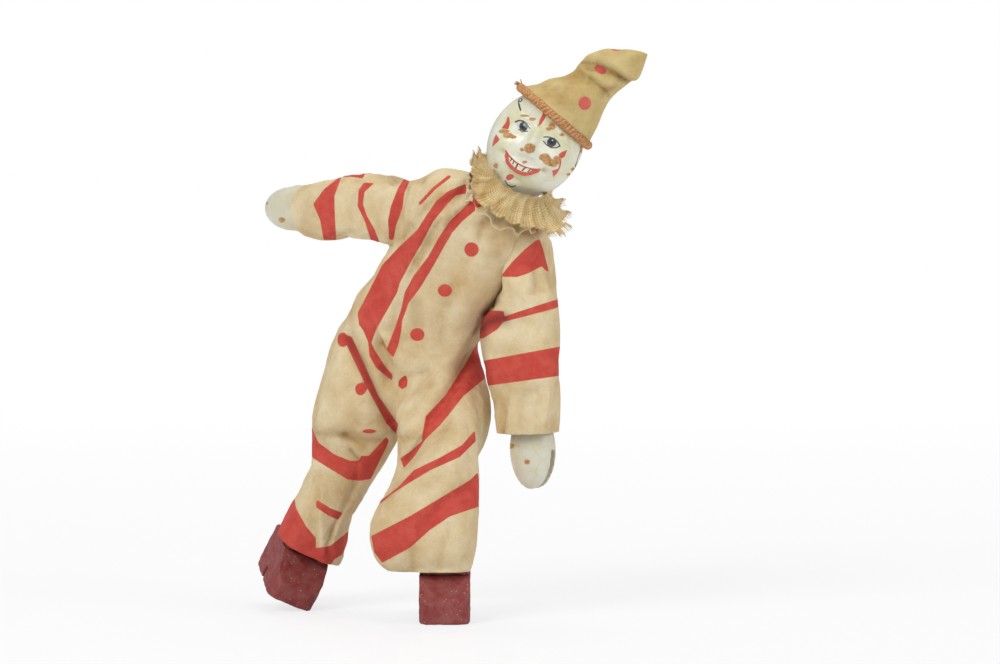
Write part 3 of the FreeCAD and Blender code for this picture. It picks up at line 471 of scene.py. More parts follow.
# Hands: each forearm and mitten is one piece of turned wood, flattened at the hand and sawn
# up the middle to clip over a rung. The enamel has chips, in the photograph: a chip's middle,
# its reach across and down, and its depth.
HAND_VOXEL = 0.4
HAND_CHIPS = [
    ((511, 446), (3, 2.2), 1),
    ((527, 462), (2.4, 2), 0.9),
    ((546, 487), (3, 1.6), 0.9),
    ((282, 220), (2.6, 2.2), 1),
    ((266, 203), (1.6, 1.6), 0.7),
]


def chip_depths(pixels, chips):
    """How deep the chips reach at each pixel: over 0 is bare wood."""
    depth = np.full(len(pixels), -1.0)
    for (across, down), (wide, high), strength in chips:
        far = np.hypot((pixels[:, 0] - across) / wide, (pixels[:, 1] - down) / high)
        depth = np.maximum(depth, strength * (1.25 - far))
    return depth


hand_enamel = chipped(*enamel("crazed_hand_enamel", "#D5D5C6", "#CFC7A6"), 0.30)
for side in SIDES:
    node = "forearm_hand_" + side
    hand = worn_copy(node, HAND_VOXEL, 3)
    pixels = photo_pixels(places_of(hand.data))
    facing = normals_of(hand.data) @ np.array((0.0, -1.0, 0.07))
    depth = np.where(facing > 0.1, chip_depths(pixels, HAND_CHIPS), -1.0)
    knocked = -hollowness(hand.data, 8) * 2.0 - 0.95
    keep_attribute(hand.data, "chips", np.maximum(depth, np.clip(knocked, -1.0, 0.6)))
    # The hand is darker in its hollows
    keep_attribute(hand.data, "hollow_darkening", np.clip(hollowness(hand.data, 14) * 1.2, 0.0, 0.5))
    cover(hand, hand_enamel)
    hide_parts(node)
    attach(hand, "forearm_" + side)


# Suit: one loose garment of thin printed cotton, sewn from a front and a back with red stripes
# and dots, gathered at the neck and hanging in soft folds. It is cut very full in the legs.
PIVOTS = {joint["name"]: Vector(joint["pos_m"]) / MM for joint in frame["joints"]}


def turned(pose):
    """Rotation for a lean to the figure's left, a tilt forward and a turn, in degrees."""
    lean, tilt, turn = (math.radians(angle) for angle in pose)
    about_y = Matrix.Rotation(lean, 4, "Y")
    about_x = Matrix.Rotation(tilt, 4, "X")
    about_z = Matrix.Rotation(turn, 4, "Z")
    return (about_y @ about_x @ about_z).to_quaternion()


def placed(point, rotation):
    """A limb's own frame: its pivot at the origin, the limb along -Z and its front to -Y."""
    return Matrix.Translation(point) @ rotation.to_matrix().to_4x4()


SPINE, SHANK = 61.0, 60.0
TORSO_TURN = turned((26.6, 28.0, 0.0))
ARM_TURNS = {"left": turned((-1.2, 0.0, -25.0)), "right": turned((86.8, 40.5, 0.0))}
THIGH_TURNS = {"left": turned((-2.2, -43.3, 0.0)), "right": turned((24.5, 3.0, 15.0))}
SHANK_TURNS = {
    "left": turned((0.0, 0.0, 0.0)),
    "right": turned((24.5, 3.0, 15.0)) @ Matrix.Rotation(math.radians(8.0), 4, "X").to_quaternion(),
}
hip_middle = (PIVOTS["hip_swing_left"] + PIVOTS["hip_swing_right"]) / 2
torso_frame = placed(hip_middle, TORSO_TURN)
arm_frames = {side: placed(PIVOTS["arm_raise_" + side], ARM_TURNS[side]) for side in SIDES}
cuff_frames = {side: placed(PIVOTS["elbow_" + side], ARM_TURNS[side]) for side in SIDES}
thigh_frames = {side: placed(PIVOTS["leg_spread_" + side], THIGH_TURNS[side]) for side in SIDES}
shank_frames = {side: placed(PIVOTS["knee_" + side], SHANK_TURNS[side]) for side in SIDES}

# Rings of cloth: height in the limb's frame, then reach to its -X, +X, front and back
TRUNK_RINGS = [
    (-9.0, 29.5, 17.0, 15.0, 16.5),
    (4.0, 31.0, 17.5, 18.5, 18.0),
    (15.0, 29.5, 16.0, 18.5, 17.5),
    (28.0, 29.0, 15.5, 18.0, 17.0),
    (40.0, 29.0, 16.5, 17.0, 16.0),
    (52.0, 29.0, 17.8, 16.5, 15.5),
    (62.0, 28.0, 18.2, 16.0, 15.0),
    (68.0, 23.0, 16.6, 14.8, 14.2),
    (73.5, 12.5, 11.5, 11.5, 11.0),
    (76.5, 9.5, 9.0, 9.0, 9.0),
]
SLEEVE_RINGS = {
    "left": [
        (8.0, 5.0, 3.4, 6.0, 6.0),
        (5.6, 8.0, 6.0, 9.0, 9.0),
        (0.0, 9.0, 8.2, 9.6, 10.8),
        (-6.0, 8.6, 9.5, 10.0, 11.5),
        (-16.0, 8.6, 9.0, 10.6, 12.0),
        (-23.0, 16.5, 8.7, 11.6, 12.5),
        (-30.4, 21.0, 9.1, 12.3, 12.5),
        (-37.6, 20.4, 9.9, 12.5, 12.5),
        (-45.2, 18.4, 10.4, 12.5, 12.5),
        (-51.0, 16.4, 10.7, 12.2, 12.2),
        (-59.0, 13.6, 10.7, 11.6, 11.6),
        (-67.3, 11.6, 10.5, 11.0, 11.0),
        (-69.5, 11.4, 10.3, 10.8, 10.8),
    ],
    "right": [
        (12.0, 10.0, 10.0, 10.0, 10.0),
        (4.0, 12.0, 12.0, 12.0, 12.0),
        (-4.0, 13.0, 13.0, 12.5, 12.5),
        (-11.0, 12.6, 13.0, 12.5, 12.5),
        (-19.0, 11.2, 12.6, 12.0, 12.0),
        (-26.0, 9.6, 12.6, 11.5, 11.5),
        (-33.5, 11.5, 12.9, 12.0, 12.0),
        (-41.0, 12.7, 12.7, 12.5, 12.5),
        (-45.2, 12.2, 11.7, 12.2, 12.2),
        (-49.5, 11.6, 10.8, 11.8, 11.8),
        (-55.5, 10.0, 11.2, 11.4, 11.4),
        (-62.0, 9.6, 11.2, 11.2, 11.2),
        (-67.3, 9.4, 10.0, 10.2, 10.2),
        (-69.5, 9.2, 9.8, 10.0, 10.0),
    ],
}
SEAT_SIZES = {"left": (4.0, 18.6, 14.0, 17.6), "right": (30.6, 4.0, 14.0, 17.6)}
HIP_SIZES = {"left": (12.5, 17.4, 12.5, 16.5), "right": (24.3, 11.0, 14.5, 16.5)}
THIGH_RINGS = {
    "left": [(-20.0, 15.8, 17.6, 13.0, 15.0), (-31.0, 17.2, 15.8, 13.0, 14.5)],
    "right": [
        (-18.0, 23.2, 12.4, 15.0, 15.5),
        (-28.0, 21.4, 12.5, 14.5, 15.0),
        (-37.0, 19.2, 11.5, 14.0, 14.5),
    ],
}
KNEE_SIZES = {"left": (16.5, 11.6, 13.0, 13.5), "right": (15.5, 10.8, 13.5, 14.0)}
SHANK_RINGS = {
    "left": [
        (-10.4, 19.0, 11.8, 13.0, 13.5),
        (-16.4, 23.7, 12.1, 13.5, 14.0),
        (-22.2, 25.7, 11.8, 13.5, 14.0),
        (-28.0, 26.3, 11.6, 13.2, 13.8),
        (-34.0, 24.6, 11.4, 12.6, 13.4),
        (-38.5, 21.5, 11.2, 11.5, 12.6),
        (-41.5, 17.0, 10.6, 10.4, 11.6),
        (-43.5, 15.0, 10.2, 10.0, 11.2),
    ],
    "right": [
        (-10.4, 11.6, 10.2, 12.5, 13.0),
        (-15.0, 12.0, 9.9, 12.5, 13.0),
        (-21.0, 13.0, 10.6, 12.8, 13.2),
        (-27.0, 13.4, 11.6, 12.8, 13.0),
        (-32.0, 13.2, 12.8, 12.4, 12.8),
        (-37.5, 12.8, 13.6, 11.4, 12.4),
        (-41.0, 12.2, 12.4, 10.6, 11.6),
        (-43.0, 12.0, 12.2, 10.4, 11.4),
    ],
}
SEAT_WAY = Vector((0.0, -0.5, -1.0)).normalized()
SEAT_RISE, HIP_DROP = 9.0, 8.0
HEM_HEIGHTS = {"left": -41.5, "right": -41.0}
CUFF_HEIGHT, NECK_HEIGHT = -67.3, 75.5


def raised(limb, height):
    return limb @ Matrix.Translation((0.0, 0.0, height))


def limb_rings(limb, rings):
    """Rings of cloth at heights in one limb's frame."""
    return [(raised(limb, ring[0]), ring[1:]) for ring in rings]


def leg_rings(side):
    """The rings of one trouser leg, from inside the seat down past the hem."""
    seat_turn = Vector((0.0, 0.0, -1.0)).rotation_difference(SEAT_WAY)
    seat = torso_frame @ placed(Vector((0.0, 0.0, SEAT_RISE)), seat_turn)
    thigh, shank = thigh_frames[side], shank_frames[side]
    half_bent = seat.to_quaternion().slerp(thigh.to_quaternion(), 0.5)
    knee_turn = thigh.to_quaternion().slerp(shank.to_quaternion(), 0.5)
    hip = placed(raised(thigh, -HIP_DROP).translation, half_bent)
    knee = placed(shank.translation, knee_turn)
    return [(seat, SEAT_SIZES[side]), (hip, HIP_SIZES[side]), *limb_rings(thigh, THIGH_RINGS[side]),
            (knee, KNEE_SIZES[side]), *limb_rings(shank, SHANK_RINGS[side])]


def tube(rings, around, spacing, corners=0.82):
    """Closed tube through rings of cloth, smoothly curved between them."""
    curves = []
    for limb, (left, right, front, back) in rings:
        curve = []
        for count in range(around):
            angle = 2 * math.pi * count / around
            cosine, sine = math.cos(angle), math.sin(angle)
            across = math.copysign(abs(cosine) ** corners, cosine)
            deep = math.copysign(abs(sine) ** corners, sine)
            reach_x = right if across > 0 else left
            reach_y = back if deep > 0 else front
            curve.append(limb @ Vector((across * reach_x, deep * reach_y, 0.0)))
        curves.append(curve)
    levels = []
    for index in range(len(curves) - 1):
        before = curves[max(index - 1, 0)]
        first, second = curves[index], curves[index + 1]
        after = curves[min(index + 2, len(curves) - 1)]
        gap = (rings[index + 1][0].translation - rings[index][0].translation).length
        steps = max(1, round(gap / spacing))
        for step in range(steps):
            t = step / steps
            level = []
            for a, b, c, d in zip(before, first, second, after):
                level.append(0.5 * (2 * b + (c - a) * t + (2 * a - 5 * b + 4 * c - d) * t ** 2
                                    + (3 * b - a - 3 * c + d) * t ** 3))
            levels.append(level)
    levels.append(curves[-1])
    points = [point for level in levels for point in level]
    faces = []
    for row in range(len(levels) - 1):
        for count in range(around):
            here = row * around + count
            beside = row * around + (count + 1) % around
            faces.append((here, here + around, beside + around, beside))
    faces.append(tuple(range(around)))
    faces.append(tuple(reversed(range((len(levels) - 1) * around, len(levels) * around))))
    return points, faces


def mesh_piece(name, points, faces):
    """A new piece from points in millimetres."""
    mesh = bpy.data.meshes.new(name)
    mesh.from_pydata([tuple(Vector(point) * MM) for point in points], [], faces)
    mesh.validate()
    return new_piece(name, mesh)


def outward(piece):
    """Turn all faces of a closed mesh outwards."""
    bpy.ops.object.mode_set(mode="EDIT")
    bpy.ops.mesh.select_all(action="SELECT")
    bpy.ops.mesh.normals_make_consistent(inside=False)
    bpy.ops.object.mode_set(mode="OBJECT")


def joined(name, parts):
    """One piece from several closed meshes, each its points and faces."""
    points, faces = [], []
    for part_points, part_faces in parts:
        faces += [tuple(index + len(points) for index in face) for face in part_faces]
        points += part_points
    piece = mesh_piece(name, points, faces)
    outward(piece)
    return piece


def in_frame(places, limb):
    """Places in a limb's own frame."""
    back = np.array(limb.inverted())
    return places @ back[:3, :3].T + back[:3, 3]


def distance_to_line(pixels, line):
    """Signed distance in pixels to an open line: positive on its right as it is drawn."""
    best = np.full(len(pixels), 1e9)
    sign = np.ones(len(pixels))
    for (x0, y0), (x1, y1) in zip(line, line[1:]):
        way = np.array((x1 - x0, y1 - y0), float)
        offset = pixels - np.array((x0, y0), float)
        share = np.clip(offset @ way / (way @ way), 0.0, 1.0)
        nearest = offset - share[:, None] * way
        distance = np.hypot(nearest[:, 0], nearest[:, 1])
        side = np.sign(way[0] * offset[:, 1] - way[1] * offset[:, 0])
        closer = distance < best
        best = np.where(closer, distance, best)
        sign = np.where(closer, side, sign)
    return best * sign


def inside_outline(pixels, outline):
    """Signed distance in pixels to a closed outline: positive inside it."""
    closed = list(outline) + [outline[0]]
    distance = np.abs(distance_to_line(pixels, closed))
    within = np.zeros(len(pixels), bool)
    for (x0, y0), (x1, y1) in zip(closed, closed[1:]):
        crosses = (y0 > pixels[:, 1]) != (y1 > pixels[:, 1])
        height = y1 - y0 if y1 != y0 else 1e-9
        at = x0 + (pixels[:, 1] - y0) * (x1 - x0) / height
        within ^= crosses & (pixels[:, 0] < at)
    return np.where(within, distance, -distance)


STEP_SOFTNESS = 1.2
FOLD_DEPTH = 1.35
CLOTH_GROWTH, DRAPE_FRAMES = 0.06, 14
VOXEL = 1.7


def press_folds(cloth, folds):
    """Press folds into the side that the camera sees.

    A fold is its line in the photograph, its height and its half width in millimetres. A
    step is higher on the right of its line as drawn, and a ridge or a hollow is even.
    """
    mesh = cloth.data
    places = places_of(mesh)
    normals = averaged(normals_of(mesh), edges_of(mesh), 3)
    pixels = photo_pixels(places)
    seen = np.clip((normals @ VIEW_WAY) * 2.5, 0.0, 1.0)
    lift = np.zeros(len(places))
    for kind, line, height, width in folds:
        signed = distance_to_line(pixels, line) * MM_PER_PIXEL
        if kind == "step":
            lift += height * np.tanh(signed / STEP_SOFTNESS) * np.exp(-np.abs(signed) / width)
        else:
            lift += height * gaussian(signed, width)
    lift = FOLD_DEPTH * averaged(lift * seen, edges_of(mesh), 1)
    move_vertices(mesh, places + normals * lift[:, None])


def crumple(cloth, furthest):
    """Let cloth that was cut a little large buckle into crumples, by a cloth simulation."""
    before = places_of(cloth.data)
    drape = cloth.modifiers.new("drape", "CLOTH")
    drape.settings.quality = 6
    drape.settings.mass = 0.002
    drape.settings.tension_stiffness = 12.0
    drape.settings.compression_stiffness = 12.0
    drape.settings.shear_stiffness = 4.0
    drape.settings.bending_stiffness = 0.02
    drape.settings.shrink_min = -CLOTH_GROWTH
    drape.settings.effector_weights.gravity = 0.0
    drape.collision_settings.use_collision = False
    drape.collision_settings.use_self_collision = False
    for number in range(1, DRAPE_FRAMES + 1):
        bpy.context.scene.frame_set(number)
    bpy.context.view_layer.objects.active = cloth
    bpy.ops.object.modifier_apply(modifier="drape")
    bpy.context.scene.frame_set(1)
    shift = places_of(cloth.data) - before
    far = np.linalg.norm(shift, axis=1)
    share = np.minimum(1.0, furthest / np.maximum(far, 1e-9))
    move_vertices(cloth.data, before + shift * share[:, None])


def cut_open(cloth, limb, height, way, reach):
    """Cut cloth open across a limb at a height, and drop what lies further on."""
    shape = bmesh.new()
    shape.from_mesh(cloth.data)
    middle = raised(limb, height).translation
    near = [face for face in shape.faces
            if (face.calc_center_median() / MM - middle).length < reach]
    edges = {edge for face in near for edge in face.edges}
    corners = {corner for face in near for corner in face.verts}
    bmesh.ops.bisect_plane(
        shape, geom=near + list(edges) + list(corners), plane_co=middle * MM,
        plane_no=limb.to_3x3() @ Vector((0.0, 0.0, way)), clear_outer=True,
    )
    shape.to_mesh(cloth.data)
    shape.free()


def refine(cloth):
    """Ease the crumples a little and mesh the cloth twice as finely."""
    reshape(cloth, "SMOOTH", factor=0.5, iterations=1)
    reshape(cloth, "SUBSURF", levels=1, render_levels=1)


def folded_cloth(name, tubes, rounds, folds, furthest):
    """Closed tubes of cloth made one even mesh, rounded where they meet, folded and crumpled."""
    cloth = joined(name, tubes)
    evened(cloth, VOXEL, rounds)
    press_folds(cloth, folds)
    crumple(cloth, furthest)
    refine(cloth)
    return cloth


def print_depth(pixels, facing, shapes):
    """How far inside a printed shape each point is, in millimetres: under 0 is bare cloth."""
    depth = np.full(len(pixels), -3.0)
    for kind, line, size in shapes:
        if kind == "dot":
            far = np.hypot((pixels[:, 0] - line[0]) / size[0], (pixels[:, 1] - line[1]) / size[1])
            inside = (1.0 - far) * min(size) * MM_PER_PIXEL
            inside = np.where(facing > 0.0, inside, -3.0)
        elif kind == "line":
            inside = size * MM_PER_PIXEL - np.abs(distance_to_line(pixels, line)) * MM_PER_PIXEL
        else:
            inside = inside_outline(pixels, line) * MM_PER_PIXEL
        depth = np.maximum(depth, inside)
    return np.clip(depth, -3.0, 3.0)


def stains_and_shade(pixels, facing, marks):
    """How much each point is darkened, by stains in one use and by painted shadows in another: marks are a
    line, its half width in pixels and its strength.
    """
    dirt_and_shade = np.zeros(len(pixels))
    for line, width, strength in marks:
        distance = np.abs(distance_to_line(pixels, line))
        dirt_and_shade += strength * gaussian(distance, width)
    return dirt_and_shade * np.clip(facing * 3.0 + 0.4, 0.0, 1.0)


def dress(cloth, shapes, marks, shadows):
    """Keep what the cotton's material reads: its place, its print, its stains with painted shade in its
    hollows, and its painted shadows.
    """
    mesh = cloth.data
    places = places_of(mesh)
    pixels = photo_pixels(places)
    facing = normals_of(mesh) @ VIEW_WAY
    keep_attribute(mesh, "place", places)
    keep_attribute(mesh, "print", print_depth(pixels, facing, shapes))
    # Painted shade: the hollows of the folds are darkened together with the stains
    hollow = np.clip(hollowness(mesh, 12) * 0.8, 0.0, 0.5)
    keep_attribute(mesh, "dirt_and_shade", np.clip(stains_and_shade(pixels, facing, marks) + hollow, 0.0, 1.0))
    # Painted shadows along the deepest folds
    keep_attribute(mesh, "dark", np.clip(stains_and_shade(pixels, facing, shadows), 0.0, 1.0))


# Old printed cotton: thin plain-woven cream cloth gone yellow and brown, its red print faded.
# Its threads are drawn twice as coarse as real ones, which are too fine to show.
THREAD_SPACING = 0.7


def cotton(name, cream, aged, red):
    """Aged cotton that reads the attributes which dress() keeps."""
    look = Look(name)
    place = look.kept("place", "Vector")
    ground = look.ramp(look.noise(place, 0.07, 5.0, 0.6), 0.35, cream, 0.68, aged)
    threads = look.noise(place, 1.0 / THREAD_SPACING, 3.0, 0.7)
    blotches = look.noise(place, 0.22, 6.0, 0.65)
    patchy = look.remap(blotches, 0.35, 0.65, 0.45, 1.35)
    # Brown stains and painted shade in the folds' hollows darken the cream towards brown
    darkened = look.maths("MULTIPLY", look.kept("dirt_and_shade"), patchy, clamp=True)
    stained_and_shaded = look.mix(darkened, ground, "#A07A3E")
    ragged = look.maths("MULTIPLY_ADD", threads, 0.35, -0.175)
    edge = look.maths("ADD", look.kept("print"), ragged)
    inked = look.remap(edge, -0.08, 0.12, 0.0, 0.97)
    coloured = look.mix(inked, stained_and_shaded, look.ramp(blotches, 0.36, red[0], 0.66, red[1]))
    # Painted shadows darken the deepest folds towards dark red-brown
    deep = look.mix(look.kept("dark"), coloured, "#3A1410")
    woven = look.mix(1.0, deep, look.remap(threads, 0.3, 0.7, 0.93, 1.05), "MULTIPLY")
    creases = look.noise(place, 0.3, 3.0, distortion=0.8)
    relief = look.bump(threads, 0.45, 0.08, under=look.bump(creases, 0.5, 0.7))
    return look.surface(woven, 0.9, relief, {"IOR": 1.4})


suit_cotton = cotton("aged_suit_cotton", "#DFCFAA", "#CDB283", ("#C03A33", "#CC4F43"))

# Folds of the trunk and the legs
TRUNK_FOLDS = [
    ("hollow", [(478, 342), (464, 366), (446, 394), (427, 416), (421, 436), (404, 458)], -2.2, 2.6),
    ("step", [(404, 460), (421, 438), (427, 416), (446, 393), (464, 366)], -1.4, 6),
    ("step", [(398, 424), (396, 403), (392, 382), (393, 362), (386, 350)], 1.7, 6.5),
    ("hollow", [(380, 348), (389, 362), (389, 382)], -1.4, 2.6),
    ("hollow", [(347, 333), (360, 361), (378, 400), (396, 428)], -2, 2.6),
    ("ridge", [(338, 345), (352, 378), (370, 412)], 1.2, 5),
    ("step", [(336, 430), (352, 432), (376, 435), (397, 434)], -1.7, 6),
    ("hollow", [(337, 428), (348, 434)], -1.8, 2.6),
    ("ridge", [(352, 314), (361, 286), (376, 262), (392, 236)], 0.8, 4),
    ("ridge", [(404, 330), (410, 296), (428, 258), (455, 221)], 0.9, 3.6),
    ("hollow", [(394, 326), (398, 300), (416, 262), (440, 228)], -0.9, 3),
    ("hollow", [(440, 330), (449, 296), (470, 268)], -0.5, 5),
    ("ridge", [(462, 318), (470, 290), (486, 262)], 0.5, 5),
    ("hollow", [(497, 219), (487, 228), (484, 243)], -1.4, 1.5),
    ("ridge", [(503, 222), (494, 234), (490, 252)], 0.7, 2.2),
    ("hollow", [(518, 230), (524, 245), (525, 262)], -1.3, 1.6),
    ("hollow", [(534, 230), (532, 246)], -1.1, 1.6),
    ("hollow", [(476, 207), (462, 219), (452, 231)], -1.2, 1.8),
    ("hollow", [(467, 196), (452, 200), (440, 210)], -1.1, 1.8),
    ("ridge", [(392, 362), (397, 400), (396, 436)], 1, 4),
    ("ridge", [(440, 360), (436, 400), (424, 430)], 0.7, 7),
    ("hollow", [(350, 449), (359, 460), (358, 482), (342, 513), (328, 540), (330, 562)], -0.9, 1.2),
    ("step", [(316, 546), (316, 490), (312, 458), (308, 444)], 1.2, 5),
    ("hollow", [(313, 446), (330, 452), (346, 458)], -0.8, 4),
    ("ridge", [(372, 446), (384, 448)], 0.7, 4),
    ("hollow", [(446, 418), (430, 440), (408, 470), (392, 486)], -1.2, 3.4),
    ("ridge", [(470, 400), (440, 444), (404, 486)], 0.9, 6),
    ("hollow", [(474, 486), (452, 500), (436, 520)], -0.6, 3),
    ("ridge", [(380, 508), (376, 534), (384, 562)], 0.6, 5),
    ("ridge", [(462, 556), (466, 524)], 0.5, 3),
    ("hollow", [(420, 566), (418, 548)], -0.6, 2.4),
    ("hollow", [(446, 566), (450, 546)], -0.5, 2.2),
    # the raised sleeve
    ("hollow", [(398, 186), (391, 214), (391, 236)], -1.3, 2.2),
    ("ridge", [(384, 190), (376, 214), (380, 236)], 0.7, 3),
    ("hollow", [(352, 182), (342, 206), (346, 232)], -0.9, 2.6),
    ("ridge", [(328, 186), (320, 208), (326, 232)], 0.6, 3),
    ("hollow", [(418, 180), (402, 206), (397, 232)], -0.6, 3),
]
# The print on the trunk, the legs and the raised sleeve
TRUNK_PRINT = [
    ("dot", (471.5, 249.5), (7.3, 7.3)),
    ("dot", (444.9, 290.5), (7.2, 6.4)),
    ("dot", (417.3, 334.6), (7.3, 6.6)),
    ("patch", [(405.5, 374.5), (398.5, 380.5), (398, 386), (402.5, 389.5), (407, 386.5), (407.8, 380)], 0),
    ("dot", (342.7, 339.8), (5.4, 7.4)),
    ("dot", (360.6, 389.2), (5.6, 6.4)),
    ("dot", (369.5, 431.3), (7.5, 2.2)),
    ("line", [(449, 176.7), (434, 188.5), (420, 203.5)], 1.7),
    ("patch", [(465.8, 183.4), (448, 191.2), (436.8, 200.1), (426.8, 214.6), (416.7, 230.3),
      (400, 245.9), (382, 265), (371, 287), (357.5, 313), (359, 325), (363, 330), (368, 342),
      (369.5, 356.1), (376, 367.9), (392.4, 381.5), (392.4, 374.4), (386.5, 367.9), (374.7, 350),
      (371.5, 343), (376, 330), (397, 293), (400, 282.7), (411.2, 261.5), (422.3, 242.5), (433.5, 221.3),
      (448, 203.5), (455.8, 195.7), (467, 193.4)], 0),
    ("patch", [(471.4, 200.1), (460.3, 211.3), (450.2, 220.2), (439, 237), (427.9, 257), (413.4, 276),
      (404.5, 292.8), (401.1, 309.5), (394, 330), (386.5, 349.6), (393, 358), (398.3, 345.7),
      (401.5, 330), (402.2, 320.7), (408.9, 302.8), (420, 288.3), (433.5, 266), (444.6, 245.9),
      (452.5, 232.5), (462.5, 221.3), (477, 209)], 0),
    ("patch", [(344.5, 334), (352, 337), (360.4, 355), (378.7, 396), (398.3, 424.1), (396.5, 434),
      (386.5, 424), (366, 386), (347, 346)], 0),
    ("patch", [(417, 169), (407, 174), (398, 188), (391, 206), (388, 220), (389, 240), (393.5, 240),
      (396, 226), (402.5, 208), (404.5, 193), (411, 178), (419, 171.5)], 0),
    ("patch", [(341, 173), (350, 170), (367, 169), (363, 178.5), (352, 177), (341, 177)], 0),
    ("patch", [(340, 176.5), (324, 189), (313, 204), (320, 220), (323.5, 240), (336.5, 240), (335, 218),
      (334.5, 196), (341.5, 177)], 0),
    ("patch", [(364, 182.5), (358.5, 190), (357.5, 206), (365, 222), (371.5, 243), (380, 243),
      (375, 230), (367, 216), (363, 204), (364.5, 192), (374.5, 183)], 0),
    # image-left trouser leg
    ("patch", [(308.5, 420), (318.5, 442.4), (334.2, 454.2), (349.9, 460.7), (359, 460.7), (361, 455.5),
      (368.2, 456.1), (386.5, 436.5), (389, 441), (385.2, 450), (370.8, 479), (359, 481), (347.3, 479.5),
      (327.7, 467.5), (312, 457.5), (307, 440)], 0),
    ("patch", [(316, 499), (330, 508), (343, 513), (338, 520), (328, 515.5), (316.2, 507.5)], 0),
    ("patch", [(293, 488), (296, 508), (306, 526), (316, 538), (316, 566), (300, 556), (284, 546),
      (276, 532), (282, 508)], 0),
    ("patch", [(316, 548), (330, 546), (350, 530), (347, 542), (343, 554), (334, 560), (330, 566),
      (316, 563)], 0),
    # image-right trouser leg
    ("patch", [(477, 343), (487, 352), (487, 376), (481.9, 381), (463.6, 396), (446.6, 417.6),
      (440.1, 425.4), (425.7, 439), (415.3, 455.5), (404, 468.5), (400, 458.1), (410, 451.6),
      (421.8, 441.1), (422.5, 433.3), (425.7, 416.3), (445.3, 395.4), (463.6, 366.6)], 0),
    ("patch", [(380, 501), (398, 487), (414, 470), (440, 457.5), (462, 445), (475, 430), (476, 441),
      (460, 457), (430, 470.5), (410, 482.5), (392, 494), (380, 504)], 0),
    ("patch", [(371, 536), (410, 516), (450, 492), (470, 480), (478, 472), (481, 506), (450, 516.5),
      (430, 530), (410, 548), (382, 563), (374, 552)], 0),
]
# Brown stains, and painted shadows along the deepest folds that light hardly reaches
TRUNK_MARKS = [
    ([(484, 224), (490, 236)], 6, 0.35),
    ([(497, 256), (501, 268)], 8, 0.28),
    ([(456, 284), (440, 318), (438, 342)], 8, 0.33),
    ([(416, 300), (416, 322)], 7, 0.38),
    ([(426, 372), (430, 382)], 8, 0.28),
    ([(404, 440), (414, 436)], 7, 0.33),
    ([(346, 432), (362, 446)], 5, 0.40),
    ([(314, 428), (332, 448)], 7, 0.25),
    ([(310, 184), (306, 224)], 10, 0.22),
    ([(384, 178), (402, 176), (424, 178)], 7, 0.35),
    ([(400, 246), (418, 214), (440, 196)], 5, 0.32),
    ([(408, 274), (430, 244), (450, 216)], 4.5, 0.32),
    ([(385, 342), (392, 352)], 4, 0.55),
    ([(348, 316), (352, 304)], 4, 0.30),
    ([(396, 566), (420, 566), (470, 556)], 6, 0.22),
    ([(320, 566), (340, 562)], 5, 0.22),
    ([(440, 436), (452, 428)], 6, 0.22),
]
TRUNK_SHADOWS = [
    ([(349, 340), (361, 362), (379, 401), (395, 428)], 4.5, 0.45),
    ([(380, 366), (390, 376)], 3, 0.35),
    ([(490, 310), (480, 318), (474, 334)], 2, 0.4),
    ([(350, 449), (359, 460)], 1.6, 0.45),
    ([(422, 436), (406, 459)], 2, 0.40),
    ([(520, 262), (503, 292), (484, 313)], 3, 0.55),
]
HEM_REACH, CUFF_REACH, NECK_REACH = 32.0, 20.0, 13.5
RING_SPACING = 3.0
sleeve_tubes = {
    side: tube(limb_rings(arm_frames[side], SLEEVE_RINGS[side]), 64, RING_SPACING) for side in SIDES
}
trunk = folded_cloth("suit_trunk", [
    tube(limb_rings(torso_frame, TRUNK_RINGS), 96, RING_SPACING),
    *(tube(leg_rings(side), 80, RING_SPACING) for side in SIDES), sleeve_tubes["right"],
], 6, TRUNK_FOLDS, 2.4)
for side in SIDES:
    cut_open(trunk, shank_frames[side], HEM_HEIGHTS[side], -1.0, HEM_REACH)
cut_open(trunk, arm_frames["right"], CUFF_HEIGHT, -1.0, CUFF_REACH)
cut_open(trunk, torso_frame, NECK_HEIGHT, 1.0, NECK_REACH)
dress(trunk, TRUNK_PRINT, TRUNK_MARKS, TRUNK_SHADOWS)

SLEEVE_FOLDS = [
    ("hollow", [(546, 246), (541, 262), (536, 290)], -0.9, 2.4),
    ("hollow", [(490, 322), (503, 326), (520, 320)], -1, 2.6),
    ("ridge", [(548, 300), (552, 340), (556, 372)], 0.5, 3),
    ("hollow", [(500, 386), (501, 410), (504, 434)], -0.9, 1.8),
    ("ridge", [(510, 392), (512, 430)], 0.5, 2.6),
    ("hollow", [(536, 392), (540, 430)], -0.4, 3),
    ("hollow", [(488, 352), (506, 352)], -0.8, 3),
    ("ridge", [(524, 276), (520, 300)], 0.5, 4),
]
SLEEVE_PRINT = [
    ("patch", [(535, 241), (539.5, 239), (543, 248.1), (549, 272), (546, 271), (541.7, 266.5),
      (527.2, 273.8), (517.2, 277.1), (500, 277), (512, 262), (523.9, 250)], 0),
    ("patch", [(466, 336), (472, 322), (488, 310), (504, 311), (505, 320), (498, 329), (484, 338),
      (472, 341)], 0),
    ("patch", [(484, 318), (502, 317), (552, 300.8), (566, 297), (566, 304), (552, 309.5), (502, 322.5),
      (484, 327)], 0),
    ("patch", [(478, 362), (487, 360), (557, 347), (570, 345), (570, 374), (559.5, 376), (487, 386),
      (478, 388)], 0),
]
SLEEVE_MARKS = [
    ([(506, 430), (556, 428)], 9, 0.25),
    ([(524, 388), (528, 394)], 9, 0.24),
    ([(500, 392), (502, 430)], 5, 0.22),
]
SLEEVE_SHADOWS = [
    ([(472, 334), (488, 322), (503, 318)], 6.5, 0.62),
    ([(482, 330), (484, 400)], 5, 0.25),
]
